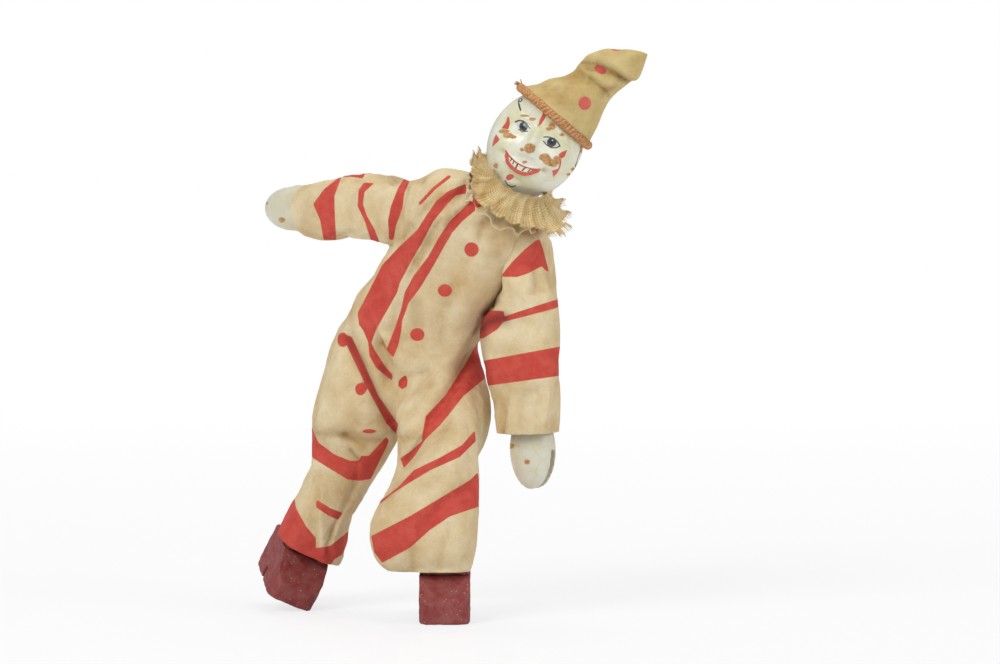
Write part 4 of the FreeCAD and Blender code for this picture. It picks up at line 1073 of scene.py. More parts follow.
left_sleeve = folded_cloth("suit_left_sleeve", [sleeve_tubes["left"]], 4, SLEEVE_FOLDS, 1.8)
cut_open(left_sleeve, arm_frames["left"], CUFF_HEIGHT, -1.0, CUFF_REACH)
dress(left_sleeve, SLEEVE_PRINT, SLEEVE_MARKS, SLEEVE_SHADOWS)

# The toy bends at the hips, knees, shoulders and elbows, so the suit is divided into lengths
# that meet edge to edge, each across one joint
CLOTH_THICKNESS = 0.45
SEAT_END, HIP_END = 8.0, 18.0
ARMHOLE_END, SHOULDER_END = 9.0, 20.0
LEG_CLOTH_REACH, ARM_CLOTH_REACH = 40.0, 26.0
HAND_LENGTH = 40.0


def shell(cloth):
    """Give the cloth its thickness, inwards."""
    reshape(cloth, "SOLIDIFY", thickness=CLOTH_THICKNESS * MM, offset=-1.0)


def past(places, point, way):
    """How far places lie beyond a plane."""
    return (places - np.array(point)) @ np.array(Vector(way).normalized())


def far_from_limb(places, joints):
    """Distance of places from a limb's centre line through its joints."""
    best = np.full(len(places), 1e9)
    for start, end in zip(joints, joints[1:]):
        way = np.array(end - start)
        offset = places - np.array(start)
        share = np.clip(offset @ way / (way @ way), 0.0, 1.0)
        best = np.minimum(best, np.linalg.norm(offset - share[:, None] * way, axis=1))
    return best


def length_of(cloth, name, chosen):
    """A separate piece of the cloth's chosen faces."""
    mesh = cloth.data.copy()
    shape = bmesh.new()
    shape.from_mesh(mesh)
    shape.faces.ensure_lookup_table()
    dropped = [shape.faces[index] for index in np.nonzero(~chosen)[0]]
    bmesh.ops.delete(shape, geom=dropped, context="FACES")
    shape.to_mesh(mesh)
    shape.free()
    smooth(mesh)
    return new_piece(name, mesh)


def down_of(limb):
    return limb.to_3x3() @ Vector((0.0, 0.0, -1.0))


def divide(cloth, side, mine, beyond, lengths):
    """Divide one limb's cloth into lengths, each a separate piece.

    A length is its name, how far down the limb it ends, the body above it, the body below it,
    and the start, the way and the two reaches of its bend.
    """
    made, top = [], -math.inf
    for name, end, above, below, start, way, reaches in lengths:
        piece = length_of(cloth, name + "_" + side, mine & (beyond > top) & (beyond <= end))
        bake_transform(piece)
        made.append(piece)
        top = end
    return made


ARMHOLES = {
    "left": (Vector((20.5, 0.0, 61.0)), Vector((1.0, 0.35, -0.3))),
    "right": (Vector((-20.5, 0.0, 61.0)), Vector((-1.0, 0.35, -0.3))),
}
holes = {side: torso_frame @ ARMHOLES[side][0] for side in SIDES}


def divide_sleeve(side, cloth, middles, mine):
    """The lengths of one sleeve: at the armhole, over the shoulder and over the elbow."""
    shoulder, down = arm_frames[side].translation, down_of(arm_frames[side])
    to_shoulder = ARMHOLE_END * down + shoulder - holes[side]
    return divide(cloth, side, mine, past(middles, shoulder, down), [
        ("sleeve_armhole", ARMHOLE_END, "torso", "shoulder_", holes[side], to_shoulder, (0.1, 0.88)),
        ("sleeve_top", SHOULDER_END, "shoulder_", "upper_arm_", shoulder, down, (10.4, 18.6)),
        ("sleeve_sleeve", math.inf, "upper_arm_", "forearm_", cuff_frames[side].translation, down,
         (-8.0, 8.0)),
    ])


shell(trunk)
middles = face_middles(trunk.data)
away = {}
for side in SIDES:
    hip, knee = thigh_frames[side].translation, shank_frames[side].translation
    ankle = raised(shank_frames[side], -SHANK).translation
    away[side] = far_from_limb(middles, [hip, knee, ankle])
nearer = {"left": away["left"] <= away["right"], "right": away["right"] < away["left"]}
suit_pieces = []
taken = np.zeros(len(middles), bool)
for side in SIDES:
    hip, knee = thigh_frames[side].translation, shank_frames[side].translation
    thigh_down = down_of(thigh_frames[side])
    down = (down_of(torso_frame) + thigh_down).normalized()
    bend = (thigh_down + down_of(shank_frames[side])).normalized()
    beyond = past(middles, hip, down)
    mine = nearer[side] & (beyond > -2.0) & (away[side] < LEG_CLOTH_REACH)
    suit_pieces += divide(trunk, side, mine, beyond, [
        ("trouser_seat", SEAT_END, "torso", "hip_", hip, down, (-0.6, 6.8)),
        ("trouser_hip", HIP_END, "hip_", "thigh_", hip, down, (9.4, 16.6)),
        ("trouser_leg", math.inf, "thigh_", "shin_", knee, bend, (-9.0, 9.0)),
    ])
    taken |= mine
right_cuff = cuff_frames["right"]
along_arm = far_from_limb(middles, [
    holes["right"], right_cuff.translation, raised(right_cuff, -HAND_LENGTH).translation,
])
out_of_hole = torso_frame.to_3x3() @ ARMHOLES["right"][1]
mine = (past(middles, holes["right"], out_of_hole) > 0.0) & (along_arm < ARM_CLOTH_REACH) & ~taken
suit_pieces += divide_sleeve("right", trunk, middles, mine)
taken |= mine
body_piece = length_of(trunk, "suit_trunk_body", ~taken)
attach(body_piece, "torso")
suit_pieces.append(body_piece)
bpy.data.objects.remove(trunk)
shell(left_sleeve)
middles = face_middles(left_sleeve.data)
suit_pieces += divide_sleeve("left", left_sleeve, middles, np.ones(len(middles), bool))
bpy.data.objects.remove(left_sleeve)
for piece in suit_pieces:
    cover(piece, suit_cotton)
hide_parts("suit_body", "trouser_upper_left", "trouser_upper_right",
            "trouser_lower_left", "trouser_lower_right", "sleeve_upper_right",
            "sleeve_lower_right", "sleeve_upper_left", "sleeve_lower_left")

# Head: a turned egg of wood sawn across in front of the neck's bore, with a moulded face glued
# on. Its enamel is crazed and chipped, and the face is painted with a fine brush.
HEAD_TURN = turned((31.0, 10.0, -5.0))
HEAD_RISE = 23.0
neck_pivot = PIVOTS["neck_nod"]
head_frame = placed(neck_pivot + HEAD_TURN @ Vector((0.0, 0.0, HEAD_RISE)), HEAD_TURN)
HEAD_HALF = (16.7, 17.5, 20.0)
FACE_PLANE = -3.0
HEAD_COLUMNS, HEAD_ROWS = ((440, 260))
FRONT_CROWDING = 0.55
EYE_LINE = math.radians(29.0)


def egg_mesh(columns, rows):
    """An egg's points and faces: its columns stand closer together at the front."""
    points = [Vector((0.0, 0.0, HEAD_HALF[2]))]
    for row in range(1, rows):
        down = math.pi * row / rows
        for column in range(columns):
            even = 2 * math.pi * column / columns - math.pi
            angle = even - FRONT_CROWDING * math.sin(even) - math.pi / 2
            ring = math.sin(down)
            points.append(Vector((HEAD_HALF[0] * ring * math.cos(angle),
                                  HEAD_HALF[1] * ring * math.sin(angle),
                                  HEAD_HALF[2] * math.cos(down))))
    points.append(Vector((0.0, 0.0, -HEAD_HALF[2])))
    last = len(points) - 1
    faces = []
    for column in range(columns):
        beside = (column + 1) % columns
        faces.append((0, 1 + column, 1 + beside))
        foot = 1 + (rows - 2) * columns
        faces.append((last, foot + beside, foot + column))
        for row in range(rows - 2):
            here = 1 + row * columns
            faces.append((here + column, here + columns + column, here + columns + beside,
                          here + beside))
    return [head_frame @ point for point in points], faces


def oval_distance(pixels, middle, size):
    """Distance from an oval's middle, 1 at its edge, along and across the eyes' line."""
    across, down = pixels[:, 0] - middle[0], pixels[:, 1] - middle[1]
    along = across * math.cos(EYE_LINE) + down * math.sin(EYE_LINE)
    upright = -across * math.sin(EYE_LINE) + down * math.cos(EYE_LINE)
    return np.hypot(along / size[0], upright / size[1])


# The face's forms: middle or line in the photograph, reach in pixels and height
FACE_FORMS = [
    ("oval", (528.5, 149.5), (6.6, 6.2), 3),
    ("oval", (523, 150.5), (3.2, 3), 0.9),
    ("oval", (534, 156), (3.2, 3), 0.9),
    ("line", [(537.5, 131), (531, 146)], 4.2, 1.5),
    ("oval", (521.5, 127), (9.5, 6.6), -1.3),
    ("oval", (551.5, 143.5), (9.5, 6.6), -1.3),
    ("oval", (522.8, 126.3), (6.2, 4.2), 0.9),
    ("oval", (552.1, 142.3), (6.2, 4.2), 0.9),
    ("line", [(512, 117), (522, 116), (535, 121.5)], 3.4, 0.7),
    ("line", [(545, 127), (556, 129), (565, 140)], 3.4, 0.7),
    ("oval", (504, 143), (10, 9.5), 1.8),
    ("oval", (553, 165), (10, 9.5), 1.8),
    ("oval", (521.5, 162), (13, 8), 1.1),
    ("oval", (504, 151.5), (3.4, 3.4), -1),
    ("oval", (544, 170.5), (3.4, 3.4), -1),
    ("line", [(507, 161), (512.5, 169.5), (521.4, 174), (530, 174), (538, 171)], 1.7, 0.5),
    ("line", [(507.5, 151), (512, 156.5), (518, 161), (526, 165), (536, 168)], 1.7, 0.4),
    ("oval", (515, 178.5), (7, 2.6), -0.5),
    ("oval", (510, 183), (9, 6), 1.2),
]
LEFT_IRIS, RIGHT_IRIS = (523.1, 126.2), (552.1, 142.3)
EYE_WHITES = [
    ("patch", [(514.8, 122), (518, 120.6), (522.5, 120.8), (526.5, 123.4), (529.6, 128.4), (528, 131),
      (522, 131.6), (517.4, 128.4)], 0),
    ("patch", [(543.8, 141), (548, 137.6), (553, 138), (557.8, 141.6), (560.4, 146.4), (556.4, 148.2),
      (551.6, 147.8), (546.8, 145)], 0),
]
TEETH = [
    ("patch", [(509.5, 156), (516.2, 161.8), (522, 165.2), (529.6, 168), (532, 169.9), (527.7, 171.8),
      (522, 170.8), (516.2, 168.2), (512.2, 164), (509.8, 160.6)], 0),
]
BLACK_LINES = [
    ("dot", LEFT_IRIS, (4.7, 4.7)),
    ("dot", RIGHT_IRIS, (4.8, 4.8)),
    ("line", [(514.6, 121.6), (518.5, 120.2), (523, 120.8), (527, 123.8), (529.8, 128.6)], 0.62),
    ("line", [(517.4, 128.6), (522, 131.6), (527.6, 131)], 0.5),
    ("line", [(543.8, 137), (549, 136.9), (554.5, 138.6), (558.3, 142.2), (560.6, 146.4)], 0.62),
    ("line", [(543.6, 141.2), (546.8, 145), (551.6, 147.9), (556.6, 148.2), (559.8, 146.6)], 0.6),
    ("line", [(520.4, 110.4), (518.9, 105.5), (518.5, 101.8), (519.3, 98.9), (520.8, 98), (522.1, 99.2),
      (521.3, 101.2), (519.9, 101.4)], 0.6),
    ("line", [(520.6, 110), (519.3, 105.8), (518.9, 103.6)], 0.80),
    ("patch", [(563.6, 122.6), (560.8, 127.2), (566.6, 127), (567.6, 125.2)], 0),
    ("line", [(511.1, 160.6), (512.9, 157.9)], 0.6),
    ("line", [(513.4, 163.4), (515, 160.4)], 0.6),
    ("line", [(516, 168), (518.3, 163.4)], 0.75),
    ("line", [(522.6, 169.8), (525.6, 166.6)], 0.75),
    ("line", [(528, 171.2), (530.2, 168.8)], 0.6),
    ("line", [(506.3, 179.4), (509.4, 182.6), (512.4, 184.5), (516, 184.6)], 0.55),
    ("line", [(581.6, 146.5), (578.6, 156), (575.4, 167)], 0.5),
]
RED_SHAPES = [
    ("patch", [(543.2, 112.9), (546.6, 112.6), (545.4, 118), (541.4, 124), (537.6, 127.8),
      (539.6, 120)], 0),
    ("patch", [(507.9, 116.4), (509.7, 118), (509.6, 124), (508.4, 129.4), (501.6, 128.6),
      (505.4, 122.8)], 0),
    ("patch", [(497.2, 134.4), (503, 140), (500.6, 142.8), (493.2, 147.4), (495.2, 141.4)], 0),
    ("patch", [(567.6, 149.9), (564.3, 156.6), (560.6, 158), (559.6, 162.4), (555.6, 172),
      (552.6, 176.2), (550.6, 168.4), (556.2, 166.2), (558.6, 158.6), (558.2, 154.2), (562.2, 151.8)], 0),
    ("dot", (510.2, 176.6), (3.5, 2.5)),
]
MOUTH = [
    ("patch", [(506.2, 149.6), (508.2, 150.2), (511.4, 155.2), (517.2, 160.3), (523.9, 164.2),
      (531.5, 167.1), (538.2, 167.9), (541.8, 169.2), (537.3, 171.9), (530.6, 174.2), (523.9, 175.1),
      (517.2, 172.8), (511.2, 168.4), (507, 162.6), (505, 155.8)], 0),
]
FACE_CHIPS = [
    ((530.6, 147.6), (4, 3.6), 1),
    ((523.6, 148.8), (1.9, 1.4), 0.7),
    ((525.3, 161.2), (1.9, 1.1), 0.8),
    ((544.6, 157.4), (4.6, 3.2), 1),
    ((550, 161.4), (5.2, 2.8), 1),
    ((556, 158.8), (3.2, 3), 0.8),
    ((504.8, 131.6), (4.2, 1.9), 0.9),
    ((509.4, 135.8), (3.6, 2.2), 1),
    ((513.6, 137.2), (2.6, 1.4), 0.9),
    ((525, 116.4), (3.8, 1), 0.6),
    ((532.6, 119.8), (2.8, 1.4), 0.7),
    ((551.8, 126.4), (3, 3.2), 0.9),
    ((548.6, 129.2), (2.4, 1.4), 0.8),
    ((561.2, 134.8), (1.8, 1.4), 0.7),
    ((573.2, 169.4), (2, 1.6), 0.9),
    ((568.4, 174.2), (1.6, 1.4), 0.8),
    ((581, 149), (0.8, 3.4), 0.6),
    ((496, 165.6), (2, 2.4), 0.5),
]


def painted(look, colour, attribute, paint):
    """One more colour of paint, brushed on where an attribute is over 0."""
    covered = look.remap(look.kept(attribute), -0.05, 0.06, 0.0, 0.95)
    return look.mix(covered, colour, paint)


PAINTS = {
    "eye_white": "#C3CBCB", "teeth": "#EDEBD8", "red": "#C7432F", "black": "#1E1F1E",
    "iris": "#343A40", "pupil": "#14161A", "glint": "#A9B4BC",
}
face_look, face_colour, face_cracks = enamel("crazed_face_enamel", "#E2E3D3", "#D6D3AE")
for attribute, paint in PAINTS.items():
    face_colour = painted(face_look, face_colour, attribute, paint)
face_enamel = chipped(face_look, face_colour, face_cracks, 0.27)

head = mesh_piece("head_whole", *egg_mesh(HEAD_COLUMNS, HEAD_ROWS))
outward(head)
places = places_of(head.data)
ways = normals_of(head.data)
pixels = photo_pixels(places)
fronting = np.clip(((ways @ VIEW_WAY) - 0.05) * 3.0, 0.0, 1.0)
raise_by = np.zeros(len(places))
for kind, middle, reach, height in FACE_FORMS:
    if kind == "oval":
        raise_by += height * gaussian(oval_distance(pixels, middle, reach), 1.0)
    else:
        raise_by += height * gaussian(distance_to_line(pixels, middle), reach)
own = in_frame(places, head_frame)
SEAM_WIDTH, SEAM_DEPTH = 0.35, 0.22
seam = gaussian(own[:, 1] - FACE_PLANE, SEAM_WIDTH)
raise_by = raise_by * fronting - SEAM_DEPTH * seam
move_vertices(head.data, places + ways * raise_by[:, None])
facing = np.where(fronting > 0.0, 1.0, -1.0)
teeth = print_depth(pixels, facing, TEETH)


def eye_dots(left_reach, right_reach):
    """A round spot on each iris."""
    return [("dot", LEFT_IRIS, (left_reach, left_reach)),
            ("dot", RIGHT_IRIS, (right_reach, right_reach))]


FACE_PAINT = {
    "eye_white": EYE_WHITES, "teeth": TEETH, "red": RED_SHAPES, "black": BLACK_LINES,
    "iris": eye_dots(3.5, 3.7), "pupil": eye_dots(1.7, 1.8),
    "glint": [("dot", (523.8, 124.4), (1.0, 0.8)), ("dot", (552.8, 140.4), (1.0, 0.8))],
}
lips = np.minimum(print_depth(pixels, facing, MOUTH), -teeth)
for attribute, shapes in FACE_PAINT.items():
    depth = print_depth(pixels, facing, shapes)
    if attribute == "red":
        depth = np.maximum(depth, lips)
    keep_attribute(head.data, attribute, np.where(fronting > 0.0, depth, -3.0))
chips = np.where(fronting > 0.1, chip_depths(pixels, FACE_CHIPS), -1.0)
keep_attribute(head.data, "chips", chips)
# The face is darker in its hollows, and along the seam between its two pieces
hollow_and_seam_darkening = np.clip(hollowness(head.data, 30) * 2.2, 0.0, 0.45) + 0.55 * seam
keep_attribute(head.data, "hollow_darkening", np.clip(hollow_and_seam_darkening, 0.0, 0.7))
smooth(head.data)
in_front = in_frame(face_middles(head.data), head_frame)[:, 1] < FACE_PLANE
HALVES = (("face_piece", "face_front", in_front), ("head_rear", "head_back", ~in_front))
for name, node, chosen in HALVES:
    half = length_of(head, name, chosen)
    cover(half, face_enamel)
    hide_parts(node)
    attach(half, "head")
bpy.data.objects.remove(head)

# Hat: a cone of the suit's spotted cotton, gone tan, that has flopped over towards the figure's
# left. Its folds are set where it bent, and its rim is turned up into the cord.
HAT_RISE, HAT_TILT, HAT_BACK = 12.6, -12.0, 2.2
HAT_RINGS = [
    (0.6, 12.6, 8.7, 15.9, 15.9),
    (1.8, 16.0, 6.8, 13.7, 14.1),
    (3.1, 20.0, 5.0, 11.8, 12.6),
    (5.9, 28.3, 0.0, 8.4, 9.8),
    (7.4, 33.6, -3.0, 9.0, 9.0),
    (9.8, 39.2, 3.0, 8.0, 7.4),
    (12.8, 44.0, -4.0, 5.2, 4.9),
    (15.4, 47.9, -20.0, 1.6, 1.7),
]
HAT_FOLDS = [
    ("step", [(628, 81), (618, 74), (608, 68.5), (596, 63.5), (580, 61.5)], 2, 5),
    ("hollow", [(630, 82.5), (618, 75.5), (608, 70.3), (597, 65.5), (586, 63.5)], -2, 1.1),
    ("step", [(609, 96), (606, 90), (598, 84), (590.5, 78), (584, 74)], 1.3, 3.4),
    ("hollow", [(609, 96.5), (606.5, 91), (599, 85.2), (591, 79.4)], -1.5, 1),
    ("ridge", [(566, 84), (572, 96), (580, 112)], 0.35, 3.4),
    ("hollow", [(548, 92), (562, 106), (578, 120)], -0.35, 2.6),
    ("ridge", [(598, 100), (592, 116)], 0.3, 2.4),
    ("ridge", [(612, 58), (628, 58)], 0.6, 3),
]
HAT_PRINT = [
    ("dot", (584.8, 103.2), (6.4, 6.9)),
    ("patch", [(594.2, 66.2), (597.5, 64.9), (602.5, 66), (606.8, 70.2), (606.2, 73.2), (602, 74.6),
      (597.2, 72.2), (594.6, 69.2)], 0),
    ("dot", (616.2, 49.6), (4.6, 1.3)),
]
HAT_MARKS = [
    ([(548, 90), (566, 92), (572, 80)], 9, 0.42),
    ([(560, 104), (574, 108)], 7, 0.30),
    ([(598, 65), (612, 72), (628, 82)], 4, 0.55),
    ([(604, 54), (622, 52)], 5, 0.25),
    ([(606, 90), (616, 88)], 4, 0.40),
]
HAT_SHADOWS = [
    ([(580, 62), (596, 63.8), (610, 69.2), (626, 79.5)], 1.3, 0.42),
    ([(589, 77), (598, 84.4), (606, 90.6), (608.5, 96)], 1.1, 0.34),
]
hat_cotton = cotton("tan_hat_cotton", "#CFBB86", "#B99F62", ("#C4504A", "#D06A5C"))
hat_seat = head_frame @ Matrix.Translation((0.0, HAT_BACK, HAT_RISE))
hat_seat = hat_seat @ Matrix.Rotation(math.radians(HAT_TILT), 4, "X")
hat_rings = []
for across, height, lean, wide, deep in HAT_RINGS:
    ring_frame = hat_seat @ Matrix.Translation((across, 0.0, height - HAT_RISE))
    ring_frame = ring_frame @ Matrix.Rotation(math.radians(lean), 4, "Y")
    hat_rings.append((ring_frame, (wide, wide, deep, deep)))
hat = mesh_piece("cotton_hat", *tube(hat_rings, 120, 1.0, 1.0))
outward(hat)
press_folds(hat, HAT_FOLDS)
places = places_of(hat.data)
sway = np.array([noise.noise(Vector(place) * 0.16) for place in places])
move_vertices(hat.data, places + normals_of(hat.data) * (sway * 0.9)[:, None])
refine(hat)
cut_open(hat, hat_rings[0][0], 0.1, -1.0, 40.0)
dress(hat, HAT_PRINT, HAT_MARKS, HAT_SHADOWS)
shell(hat)
smooth(hat.data)
cover(hat, hat_cotton)
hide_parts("hat")
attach(hat, "head")

# Hat cord: two thick strands of tan wool twisted together and sewn round the rim, with its
# ends frayed where they meet at the figure's right temple
STRAND_RADIUS = 0.78
STRAND_ORBIT = 0.86
TWISTS = 34
STRAND_STEPS = 720
CORD_REACH, CORD_DROP, CORD_WANDER = 15.85, 0.9, 0.25
HAIR_COUNT, HAIR_START, HAIR_SPACING, HAIR_REACH, HAIR_RADIUS = 16, 172.0, 1.1, 16.2, 0.16


def strand_mesh(route, radius, corners, closed):
    """A thin round strand along points, as points and faces."""
    points, faces = [], []
    count = len(route)
    for index, middle in enumerate(route):
        after = route[(index + 1) % count] if closed or index + 1 < count else middle
        before = route[index - 1] if closed or index > 0 else middle
        way = (after - before).normalized()
        side = way.cross(Vector((0.3, 0.2, 0.93))).normalized()
        other = way.cross(side)
        thin = radius if closed else radius * (1.0 - 0.6 * index / count)
        for corner in range(corners):
            angle = 2 * math.pi * corner / corners
            points.append(middle + (side * math.cos(angle) + other * math.sin(angle)) * thin)
    for index in range(count if closed else count - 1):
        here, there = index * corners, (index + 1) % count * corners
        for corner in range(corners):
            beside = (corner + 1) % corners
            faces.append((here + corner, here + beside, there + beside, there + corner))
    if not closed:
        faces.append(tuple(reversed(range(corners))))
        faces.append(tuple(range((count - 1) * corners, count * corners)))
    return points, faces


def many_strands(name, strands):
    """All strands of one kind, as one piece."""
    piece = joined(name, strands)
    smooth(piece.data)
    return piece


def yarn(name, light, dark, fibre):
    """Fuzzy spun yarn, its fibres drawn coarse."""
    look = Look(name)
    tangle = look.noise(look.place(fibre), 1.0, 4.0, distortion=1.2)
    tone = look.ramp(tangle, 0.38, dark, 0.62, light)
    return look.surface(tone, 0.95, look.bump(tangle, 0.8, 0.25))


rim_frame = hat_rings[0][0]
strands = []
for strand in range(2):
    route = []
    for step in range(STRAND_STEPS):
        around = 2 * math.pi * step / STRAND_STEPS
        twist = TWISTS * around + math.pi * strand
        wander = CORD_WANDER * noise.noise(Vector((math.cos(around), math.sin(around), 0.0)) * 5.0)
        reach = CORD_REACH + wander + STRAND_ORBIT * math.cos(twist)
        route.append(rim_frame @ Vector((reach * math.cos(around), reach * math.sin(around),
                                         -CORD_DROP + wander + STRAND_ORBIT * math.sin(twist))))
    strands.append(strand_mesh(route, STRAND_RADIUS, 8, True))
for number in range(HAIR_COUNT):
    around = math.radians(HAIR_START + HAIR_SPACING * number)
    stray = noise.noise_vector(Vector((number * 0.61, 1.0, 4.0)))
    start = Vector((HAIR_REACH * math.cos(around), HAIR_REACH * math.sin(around),
                    -0.4 + 0.9 * stray.x))
    way = Vector((-1.0 + 0.8 * stray.y, -0.5 + stray.x, 0.5 + 1.1 * stray.z)).normalized()
    reach = 2.4 + 2.2 * abs(stray.z)
    hair = [start + way * (reach * share) + Vector((0.0, 0.0, -0.9 * share ** 2))
            for share in (0.0, 0.3, 0.6, 1.0)]
    strands.append(strand_mesh([rim_frame @ point for point in hair], HAIR_RADIUS, 5, False))
hat_cord = many_strands("twisted_hat_cord", strands)
cover(hat_cord, yarn("tan_wool_yarn", "#D9A776", "#A56C3A", 0.6))
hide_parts("hat_trim")
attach(hat_cord, "head")

# Neck frill: the suit's own collar edge, a strip of the printed cotton gathered on a thread at
# the neck. It lies on the shoulders under the gauze, and its cut edge has gone pink and brown.
FRILL_PLEATS = 14
FRILL_REACHES = [
    (0, 17.0), (40, 16.0), (90, 15.5), (140, 15.5), (180, 15.0), (205, 14.4), (225, 17.0), (240, 16.4),
    (262, 18.6), (285, 19.6), (310, 19.4), (335, 18.2), (360, 17.0),
]
FRILL_ROWS, RING_STEPS = 14, 720
FRILL_THROAT, COLLAR_RISE = 8.8, 12.5


def from_table(table, angle):
    """A value read from a table of angles in degrees."""
    angles, values = zip(*table)
    return float(np.interp(math.degrees(angle) % 360.0, angles, values))


def pleated(pleats, angle, seed):
    """How high a pleat stands, from -1 to 1, flat on its top like a pressed box pleat."""
    uneven = 0.55 * noise.noise(Vector((math.cos(angle), math.sin(angle), seed)) * 2.4)
    return math.tanh(1.7 * math.sin(pleats * angle + 3.0 * uneven))


def ring_sheet(name, rows, place_at):
    """A sheet of cloth round the neck, from a function of the angle and of 0 to 1 outwards."""
    points, faces = [], []
    for row in range(rows + 1):
        for step in range(RING_STEPS):
            points.append(place_at(2 * math.pi * step / RING_STEPS, row / rows))
    for row in range(rows):
        for step in range(RING_STEPS):
            here, beside = row * RING_STEPS + step, row * RING_STEPS + (step + 1) % RING_STEPS
            faces.append((here, beside, beside + RING_STEPS, here + RING_STEPS))
    ring = mesh_piece(name, points, faces)
    smooth(ring.data)
    return ring


collar_frame = torso_frame @ Matrix.Translation((0.0, 0.0, SPINE + COLLAR_RISE))


def frill_point(angle, outward_share):
    """A point of the frill: its pleats deepen towards its edge, which droops a little."""
    edge = from_table(FRILL_REACHES, angle)
    reach = FRILL_THROAT + (edge - FRILL_THROAT) * outward_share
    stand = pleated(FRILL_PLEATS, angle, 4.0) * (0.25 + 0.95 * outward_share)
    sway = noise.noise(Vector((math.cos(angle) * 2.0, math.sin(angle) * 2.0, 9.0 + outward_share)))
    rise = 0.4 + 1.5 * outward_share - 1.4 * outward_share ** 3 + stand + 0.7 * sway * outward_share
    return collar_frame @ Vector((reach * math.cos(angle), reach * math.sin(angle), rise))


FRILL_PRINT = [
    ("patch", [(458, 160), (467.5, 163), (468.5, 176), (476, 189), (472, 191), (464, 182), (457, 170)], 0),
    ("patch", [(474, 197), (480, 200), (483, 206), (476, 208), (472, 202)], 0),
    ("patch", [(534.5, 217), (546, 217), (546, 232), (542, 244), (536, 236)], 0),
]
FRILL_MARKS = [
    ([(480, 200), (500, 214), (522, 221), (536, 221)], 4, 0.5),
    ([(534, 222), (544, 226)], 6, 0.8),
]
frill = ring_sheet("suit_neck_frill", FRILL_ROWS, frill_point)
dress(frill, FRILL_PRINT, FRILL_MARKS, [])
shell(frill)
cover(frill, suit_cotton)
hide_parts("neck_frill")
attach(frill, "torso")

# Ruff: a strip of open tan gauze, pressed in box pleats and gathered round the neck. It rises to
# the jaw, hangs over the frill, stands up beside the chin and is frayed at its raw edge.
RUFF_PLEATS = 20
RUFF_ROWS = 26
ruff_frame = placed(neck_pivot + TORSO_TURN @ Vector((2.5, -2.0, 2.6)), turned((37.0, 24.0, 0.0)))
RUFF_REACHES = [
    (0, 21.2), (20, 20.4), (60, 18.6), (110, 17.0), (140, 17.6), (165, 19.6), (190, 20.2), (215, 19.6),
    (235, 21.2), (255, 21.8), (275, 20.8), (300, 19.0), (320, 18.4), (340, 20.8), (360, 21.2),
]
RUFF_RISES = [
    (0, 3.0), (30, 4.6), (60, 4.8), (110, 4.0), (140, 4.2), (165, 4.8), (190, 5.4), (215, 3.4),
    (235, 1.4), (255, 1.6), (275, 2.2), (300, 2.6), (320, 3.2), (340, 2.6), (360, 3.0),
]
RUFF_THROATS = [
    (0, 9.2), (30, 8.4), (60, 8.6), (110, 11.0), (180, 12.6), (250, 12.2), (300, 10.4), (335, 9.6),
    (360, 9.2),
]
RUFF_STANDS = [
    (0, 10.8), (30, 10.6), (70, 8.0), (180, 7.2), (250, 8.0), (300, 10.0), (335, 10.8), (360, 10.8),
]


def ruff_point(angle, outward_share):
    """A point of the ruff: from the jaw it dips to the neck's seam and flares to its edge."""
    edge, rise = from_table(RUFF_REACHES, angle), from_table(RUFF_RISES, angle)
    fold = pleated(RUFF_PLEATS, angle, 1.0)
    lean = 0.05 * math.cos(RUFF_PLEATS * angle) * outward_share
    throat = from_table(RUFF_THROATS, angle)
    reach = throat - 1.2 * math.sin(math.pi * min(outward_share * 2.2, 1.0))
    reach += (edge - throat) * outward_share ** 1.15
    height = from_table(RUFF_STANDS, angle) * (1.0 - outward_share) ** 2.0 + rise * outward_share
    sway = noise.noise(Vector((math.cos(angle) * 3.0, math.sin(angle) * 3.0, 2.0 * outward_share)))
    crumpled = noise.noise(Vector((angle * 9.0, outward_share * 4.0, 3.0)))
    height += fold * (0.3 + 1.0 * outward_share) + 0.9 * sway * outward_share + 0.35 * crumpled
    reach += 0.5 * fold * outward_share + 0.5 * crumpled * outward_share
    around = angle + lean
    return ruff_frame @ Vector((reach * math.cos(around), reach * math.sin(around), height))


# Gauze: its threads are drawn three times as coarse as real ones, which are too fine to show
GAUZE_SPACING = 0.8
gauze_look = Look("tan_cotton_gauze")
weave = gauze_look.kept("weave", "Vector")
bands = [gauze_look.node("TexWave", {
    "Vector": weave, "Scale": 2 * math.pi / (20.0 * GAUZE_SPACING), "Distortion": 1.6,
    "Detail": 2.0, "Detail Scale": 0.5,
}, bands_direction=way).outputs["Fac"] for way in ("X", "Y")]
thread = gauze_look.maths("MAXIMUM", *bands)
gauze_patches = gauze_look.noise(weave, 0.16, 5.0, 0.6)
gauze_ground = gauze_look.ramp(gauze_patches, 0.36, "#E2CF9F", 0.66, "#C3A367")
# The gauze darkens towards brown near the throat and with painted shade in the valleys of its pleats
gauze_darkened = gauze_look.mix(gauze_look.kept("dirt_and_shade"), gauze_ground, "#6E4E22")
gauze_tone = gauze_look.remap(thread, 0.0, 1.0, 0.74, 1.14)
gauze = gauze_look.surface(
    gauze_look.mix(1.0, gauze_darkened, gauze_tone, "MULTIPLY"), 0.92,
    gauze_look.bump(thread, 0.6, 0.15),
    {"IOR": 1.4, "Alpha": gauze_look.remap(thread, 0.2, 0.5, 0.72, 1.0)},
)

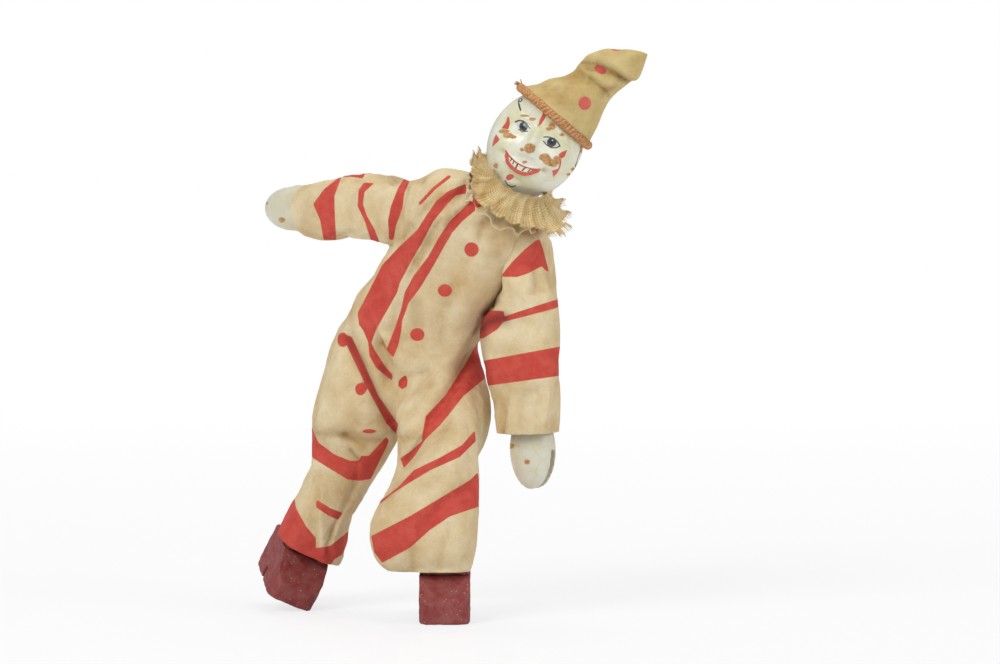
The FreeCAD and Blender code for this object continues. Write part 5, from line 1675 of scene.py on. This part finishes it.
ruff = ring_sheet("gauze_neck_ruff", RUFF_ROWS, ruff_point)
WEAVE_AROUND, WEAVE_HEIGHT = 19.0, 14.0
weave_places = np.array([
    (WEAVE_AROUND * 2 * math.pi * step / RING_STEPS, WEAVE_HEIGHT * row / RUFF_ROWS, 0.0)
    for row in range(RUFF_ROWS + 1) for step in range(RING_STEPS)
])
keep_attribute(ruff.data, "weave", weave_places)
# Darker towards the throat, and painted shade in the valleys of the pleats
darker_inward = 0.35 * (1.0 - weave_places[:, 1] / WEAVE_HEIGHT) ** 2
valleys = np.clip(hollowness(ruff.data, 4) * 2.0, 0.0, 0.42)
keep_attribute(ruff.data, "dirt_and_shade", np.clip(darker_inward + valleys, 0.0, 0.6))
cover(ruff, gauze)
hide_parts("gauze_ruff")
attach(ruff, "torso")

# Frayed edge: loose threads of the gauze, longest at its right end and where it stands up
FRINGE_LENGTHS = [
    (0, 3.6), (25, 2.6), (60, 1.2), (130, 1.2), (160, 2.2), (190, 1.6), (215, 0.9), (240, 1.1), (300, 0.9),
    (330, 1.4), (345, 3.0), (360, 3.6),
]
FRINGE_COUNT, FRINGE_STEPS, FRINGE_RADIUS, FRINGE_TUCK = 520, 5, 0.15, 0.4
fringe_strands = []
for number in range(FRINGE_COUNT):
    angle = 2 * math.pi * (number + 0.8 * noise.noise(Vector((number * 0.7, 0.0, 5.0)))) / FRINGE_COUNT
    root, inside = ruff_point(angle, 1.0), ruff_point(angle, 0.8)
    away_way = (root - inside).normalized()
    stray = noise.noise_vector(Vector((number * 0.37, 2.0, 0.0)))
    length = from_table(FRINGE_LENGTHS, angle) * (0.55 + 0.9 * abs(stray.x))
    bend = Vector((0.25 * stray.x, 0.35 * stray.y, -0.12 + 0.35 * stray.z))
    route = []
    for step in range(FRINGE_STEPS + 1):
        share = step / FRINGE_STEPS
        route.append(root + away_way * (length * share - FRINGE_TUCK) + bend * (length * share ** 2))
    fringe_strands.append(strand_mesh(route, FRINGE_RADIUS, 5, False))
fringe = many_strands("gauze_ruff_fringe", fringe_strands)
cover(fringe, yarn("loose_gauze_thread", "#E2CFA0", "#BFA068", 0.6))
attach(fringe, "torso")
